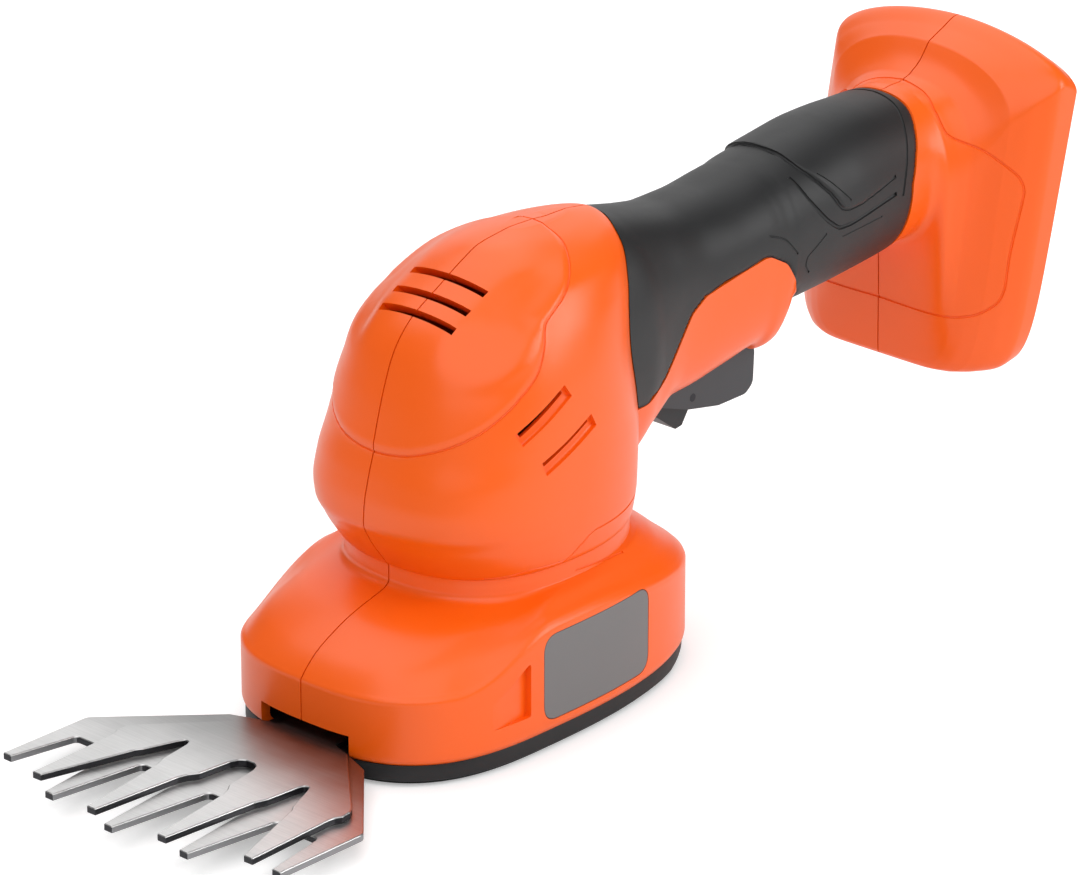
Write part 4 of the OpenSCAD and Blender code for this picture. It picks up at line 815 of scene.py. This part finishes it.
drill(lockForm, [(*lock["pin"], lock["pinWay"], -20, 20)])
bevelled(smooth(lockForm, 30), lock["edge"], 3, 50)
for form, node, rider, slot in ((triggerForm, "trigger", "trigger", "trigger_plastic"),
                                (lockForm, "lock_lever", "lock", "black_plastic")):
    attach(form, rider)
    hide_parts(node)
    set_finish(form, slot)

# trigger spring: a round wire along a helix
spring = {"turns": 6, "r": 4, "wire": 0.5, "steps": 28, "keep": 0.88}
springLow, springHigh = (np.array(corner) * 1000 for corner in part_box("trigger_spring"))
t = np.linspace(0, 1, spring["turns"] * spring["steps"] + 1)[:, None]
a = np.linspace(0, 2 * np.pi, 12, endpoint=False)[None]
turn = 2 * np.pi * spring["turns"] * t
reach = spring["r"] + spring["wire"] * np.cos(a)
rise = springLow[2] + spring["wire"] + (springHigh[2] - springLow[2] - 2 * spring["wire"]) * t
springGrid = np.stack([(springLow[0] + springHigh[0]) / 2 + reach * np.cos(turn), reach * np.sin(turn),
                       rise + spring["wire"] * np.sin(a)], -1)
springForm = smooth(outward(ringSkin("springForm", springGrid)), 60)
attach(springForm, "body")
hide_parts("trigger_spring")
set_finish(springForm, "fastener_steel")
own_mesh(springForm)
print("trigger and lock")


# finishes
# A node group with the named inputs and a colour, a roughness and a height as outputs.
def newGroup(name, *inputs):
    tree = bpy.data.node_groups.new(name, "ShaderNodeTree")
    for way, labels in (("INPUT", inputs), ("OUTPUT", ("Colour", "Roughness", "Height"))):
        for label in labels:
            kind = "NodeSocketColor" if label == "Colour" else "NodeSocketFloat"
            tree.interface.new_socket(label, in_out=way, socket_type=kind)
    return tree, tree.nodes.new("NodeGroupInput").outputs, tree.nodes.new("NodeGroupOutput")


# Inputs linked where they come from a socket, set where they are plain.
def feed(tree, node, inputs):
    for socket, source in inputs:
        if hasattr(source, "is_output"):
            tree.links.new(source, node.inputs[socket])
        else:
            node.inputs[socket].default_value = source


def addNode(tree, kind, inputs=(), **values):
    made = tree.nodes.new("ShaderNode" + kind)
    for key, value in values.items():
        setattr(made, key, value)
    feed(tree, made, inputs)
    return made


def mathNode(tree, how, *sources):
    return addNode(tree, "Math", enumerate(sources), operation=how).outputs[0]


def noise(tree, place, scale, detail, rough=0.5):
    inputs = [("Vector", place), ("Scale", scale), ("Detail", detail), ("Roughness", rough)]
    return addNode(tree, "TexNoise", inputs).outputs["Fac"]


def shaded(tree, colour, value):
    return addNode(tree, "HueSaturation", [("Color", colour), ("Value", value)]).outputs[0]


# Moulded surface: fine spark-eroded grain, a slow drift of shade, and rubbed patches of more or less gloss.
def mouldedGroup():
    tree, given, made = newGroup("mouldedGrain", "Colour", "Grain", "Drift", "Rough", "Spread")
    place = addNode(tree, "TexCoord").outputs["Object"]
    grain = noise(tree, place, given["Grain"], 2.0, 0.6)
    drift = mathNode(tree, "SUBTRACT", noise(tree, place, 26.0, 4.0), 0.5)
    rub = mathNode(tree, "SUBTRACT", noise(tree, place, 90.0, 6.0, 0.65), 0.5)
    value = mathNode(tree, "ADD", mathNode(tree, "MULTIPLY", drift, given["Drift"]), 1.0)
    rough = mathNode(tree, "ADD", mathNode(tree, "MULTIPLY", rub, given["Spread"]), given["Rough"])
    feed(tree, made, [("Colour", shaded(tree, given["Colour"], value)), ("Roughness", rough), ("Height", grain)])
    return tree


# Brushed metal: noise drawn out along one direction gives the scratches' height, tint and gloss.
def brushedGroup():
    tree, given, made = newGroup("brushedGrain", "Colour", "Along", "Fine", "Turn", "Rough", "Spread")
    place = addNode(tree, "TexCoord").outputs["Object"]
    turn = addNode(tree, "CombineXYZ", [("Z", given["Turn"])]).outputs[0]
    scale = addNode(tree, "CombineXYZ", [("X", given["Along"]), ("Y", given["Fine"]), ("Z", given["Fine"])])
    drawn = addNode(tree, "Mapping", [("Vector", place), ("Rotation", turn), ("Scale", scale.outputs[0])])
    streak = noise(tree, drawn.outputs[0], 1.0, 3.0)
    centred = mathNode(tree, "SUBTRACT", mathNode(tree, "ADD", streak, noise(tree, place, 60.0, 4.0)), 1.0)
    tint = mathNode(tree, "MULTIPLY_ADD", centred, 0.30, 1.0)
    rough = mathNode(tree, "MULTIPLY_ADD", centred, given["Spread"], given["Rough"])
    feed(tree, made, [("Colour", shaded(tree, given["Colour"], tint)), ("Roughness", rough), ("Height", streak)])
    return tree


moulded, brushed = mouldedGroup(), brushedGroup()


# A material: one group feeds colour, roughness and bump, and constants stand on the shader's sockets.
def finish(name, effect, values, bump, distance, **sockets):
    material = bpy.data.materials.new(name)
    material.use_nodes = True
    tree = material.node_tree
    tree.nodes.clear()
    group = addNode(tree, "Group", values.items(), node_tree=effect).outputs
    relief = addNode(tree, "Bump", [("Height", group["Height"]), ("Strength", bump), ("Distance", distance * mm)])
    shader = addNode(tree, "BsdfPrincipled", [
        ("Base Color", group["Colour"]), ("Roughness", group["Roughness"]), ("Normal", relief.outputs[0])])
    feed(tree, shader, [(label.replace("_", " "), value) for label, value in sockets.items()])
    addNode(tree, "OutputMaterial", [(0, shader.outputs[0])])
    return material


def plastic(name, colour, rough, grain=2200, drift=0.25, spread=0.15, bump=0.25, distance=0.02, **sockets):
    return finish(name, moulded, {"Colour": (*colour, 1), "Grain": grain, "Drift": drift, "Rough": rough,
                                  "Spread": spread}, bump, distance, **sockets)


def metal(name, colour, rough, along=40, fine=2400, turn=0.0, spread=0.14, bump=0.2, distance=0.01):
    return finish(name, brushed, {"Colour": (*colour, 1), "Along": along, "Fine": fine, "Turn": turn, "Rough": rough,
                                  "Spread": spread}, bump, distance, Metallic=1.0)


looks = {
    "casing_plastic": plastic("satinOrange", (0.96, 0.118, 0.001), 0.33, 1700, 0.06, 0.1, 0.18, 0.015,
                              Coat_Weight=0.15, Coat_Roughness=0.22),
    "grip_rubber": plastic("mattRubber", (0.015, 0.0152, 0.016), 0.46, 3600, 0.25, 0.14, 0.45, 0.03),
    "plate_grey": plastic("plateGrey", (0.17, 0.165, 0.165), 0.42, 2200, 0.1, 0.1, 0.2, 0.015),
    "sole_plastic": plastic("soleBlack", (0.009, 0.009, 0.01), 0.48, 2000),
    "trigger_plastic": plastic("triggerGrey", (0.045, 0.047, 0.052), 0.45, 2200, 0.2, 0.12),
    "black_plastic": plastic("mouldedBlack", (0.014, 0.014, 0.016), 0.42),
    "gear_plastic": plastic("naturalNylon", (0.8, 0.79, 0.74), 0.38, 1500, 0.06, 0.1, 0.15, 0.02,
                            Subsurface_Weight=0.1),
    "lead_red": plastic("redInsulation", (0.45, 0.02, 0.02), 0.38, 1500, 0.12, 0.1, 0.1, 0.01),
    "lead_black": plastic("blackInsulation", (0.018, 0.018, 0.018), 0.38, 1500, 0.2, 0.1, 0.1, 0.01),
    "magnet": plastic("sinteredFerrite", (0.045, 0.044, 0.046), 0.6, 4200, 0.3, 0.2, 0.5, 0.03),
    "blade_steel": metal("groundSteel", (0.75, 0.745, 0.74), 0.34, 2400, 60, 0, 0.16, 0.22, 0.008),
    "black_steel": metal("blackOxide", (0.05, 0.05, 0.055), 0.42, 900, 1800, 0.6, 0.18, 0.2, 0.01),
    "motor_steel": metal("platedCan", (0.56, 0.56, 0.57), 0.3, 400, 2400, 0, 0.12, 0.12, 0.006),
    "fastener_steel": metal("zincSteel", (0.58, 0.58, 0.6), 0.3, 900, 1800, 0.6, 0.18, 0.2, 0.01),
    "frame_alloy": metal("castAlloy", (0.55, 0.56, 0.57), 0.48, 700, 800, 0, 0.2, 0.5, 0.03),
    "brass": metal("turnedBrass", (0.72, 0.52, 0.22), 0.3, 300, 2600, 0, 0.14, 0.15, 0.008)}
copper = metal("commutatorCopper", (0.72, 0.36, 0.22), 0.28, 2600, 300, 0, 0.14, 0.15, 0.008)


def wear(obj, look):
    obj.data.materials.clear()
    obj.data.materials.append(look)


for obj in [o for o in bpy.data.objects if o.get("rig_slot")]:
    wear(obj, looks[obj["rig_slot"]])
# painted shade: the blades are darkened towards the mouth, standing in for the shaded body they mirror there; the
# range runs along x in metres
paintedShadeRange = {"From Min": -0.092, "From Max": -0.054, "To Min": 1.0, "To Max": 0.42}
steelTree = looks["blade_steel"].node_tree
steelPlace = addNode(steelTree, "TexCoord").outputs["Object"]
steelX = addNode(steelTree, "SeparateXYZ", [(0, steelPlace)]).outputs["X"]
paintedShadeFactor = addNode(steelTree, "MapRange", [("Value", steelX), *paintedShadeRange.items()], interpolation_type="SMOOTHSTEP")
steelColour = steelTree.nodes["Principled BSDF"].inputs["Base Color"]
steelTree.links.new(shaded(steelTree, steelColour.links[0].from_socket, paintedShadeFactor.outputs[0]), steelColour)
# painted shade: the moving blade's upright faces and all faces turned forwards, the tips among them, get a dark copy
# of the steel, and the fixed blade's other upright faces a paler one
paintedShadeEdge = metal("paintedShadeEdge", (0.06, 0.06, 0.065), 0.45)
for form, edge in ((lowerForm, metal("paintedSideShade", (0.34, 0.34, 0.35), 0.45)), (upperForm, paintedShadeEdge)):
    form.data.materials.append(edge)
    form.data.materials.append(paintedShadeEdge)
    facing = np.empty(len(form.data.polygons) * 3, np.float32)
    form.data.polygons.foreach_get("normal", facing)
    level, ahead = np.abs(facing[2::3]), facing[0::3] < -0.8
    index = (level < 0.4) * (1 + ahead)
    form.data.polygons.foreach_set("use_smooth", level < 0.995)  # the rolled faces stay dead flat
    form.data.polygons.foreach_set("material_index", index.astype(np.int32))
nodeLooks = {
    "fastener_steel": ["sole_screws", "casing_screws", "plate_screws", "motor_screws", "pivot_bolt", "pivot_nut",
                       "cam_axle", "compound_axle", "motor_shaft", "trigger_pin"],
    "black_steel": ["lock_pin"],
    "brass": ["pivot_washer", "motor_pinion", "motor_bushes", "motor_terminals", "switch_terminals",
              "battery_contacts"],
    "frame_alloy": ["gear_bridge", "motor_plate"], "gear_plastic": ["cam_gear", "compound_gear"],
    "motor_steel": ["motor_can", "armature_core"], "magnet": ["motor_magnets", "motor_brushes"],
    "black_plastic": ["motor_end_cap", "switch_body", "terminal_block"],
    "lead_red": ["lead_feed", "lead_motor", "switch_plunger"], "lead_black": ["lead_return"]}
nodeLooks = {n: looks[k] for k, names in nodeLooks.items() for n in names} | {"commutator": copper}
for name, look in nodeLooks.items():
    wear(nodes[name], look)
print("finishes on", len(nodeLooks), "nodes")

# floor, light and camera
studio = {"floor": 4000, "floorGlow": 0.30, "ambient": 0.42, "backdrop": 0.58, "gloss": -0.34}
far = studio["floor"]
floor = meshObject("floor", [(-far, -far, 0), (far, -far, 0), (far, far, 0), (-far, far, 0)], [(0, 1, 2, 3)])
paper = bpy.data.materials.new("palePaper")
paper.use_nodes = True
paperTree = paper.node_tree
paperShader = paperTree.nodes["Principled BSDF"]
seen = addNode(paperTree, "LightPath").outputs["Is Camera Ray"]
glow = mathNode(paperTree, "MULTIPLY", seen, studio["floorGlow"])
feed(paperTree, paperShader, [("Base Color", (0.90, 0.90, 0.90, 1)), ("Roughness", 0.9),
                              ("Emission Color", (1, 1, 1, 1)), ("Emission Strength", glow)])
floor.data.materials.append(paper)

world = bpy.data.worlds.new("studio")
scene.world = world
world.use_nodes = True
sky = world.node_tree
back = sky.nodes["Background"]
back.inputs["Color"].default_value = (1, 1, 1, 1)
# the camera sees white behind the tool, other rays a dimmer sky and mirrored ones a dark one
rays = addNode(sky, "LightPath").outputs
bright = mathNode(sky, "MULTIPLY_ADD", rays["Is Camera Ray"], studio["backdrop"], studio["ambient"])
sky.links.new(mathNode(sky, "MULTIPLY_ADD", rays["Is Glossy Ray"], studio["gloss"], bright), back.inputs["Strength"])


# An area lamp that faces the place it is aimed at.
def softbox(name, place, aim, size, power):
    light = bpy.data.lights.new(name, "AREA")
    light.shape, light.size, light.size_y, light.energy = "RECTANGLE", size[0], size[1], power
    lamp = bpy.data.objects.new(name, light)
    lamp.location = place
    lamp.rotation_euler = (Vector(aim) - Vector(place)).to_track_quat("-Z", "Y").to_euler()
    scene.collection.objects.link(lamp)


softbox("keyBox", (-0.9, -0.9, 1.5), (0.05, 0, 0.06), (2.2, 2.2), 19)
softbox("sideBox", (0.9, -1.3, 0.8), (0.08, 0, 0.07), (0.8, 1.0), 10)
softbox("topBox", (0.2, 0.6, 1.7), (0.08, 0, 0.07), (2.0, 1.6), 13.5)
softbox("rearBox", (1.1, 1.05, 0.7), (-0.06, 0, 0.01), (1.6, 1.2), 5)

view = {"azimuth": -47.1, "elevation": 22.52, "distance": 1620.85, "target": (42.25, 0, 65.38), "lens": 200}
azimuth, elevation = math.radians(view["azimuth"]), math.radians(view["elevation"])
towards = Vector((math.sin(azimuth) * math.cos(elevation), -math.cos(azimuth) * math.cos(elevation),
                  math.sin(elevation)))
lens = bpy.data.cameras.new("camera")
lens.lens, lens.sensor_width, lens.clip_end = view["lens"], 36, 20
camera = bpy.data.objects.new("camera", lens)
camera.location = Vector(view["target"]) * mm + towards * view["distance"] * mm
camera.rotation_euler = (-towards).to_track_quat("-Z", "Y").to_euler()
scene.collection.objects.link(camera)
scene.camera = camera
scene.view_settings.view_transform = "Standard"

bpy.context.view_layer.update()
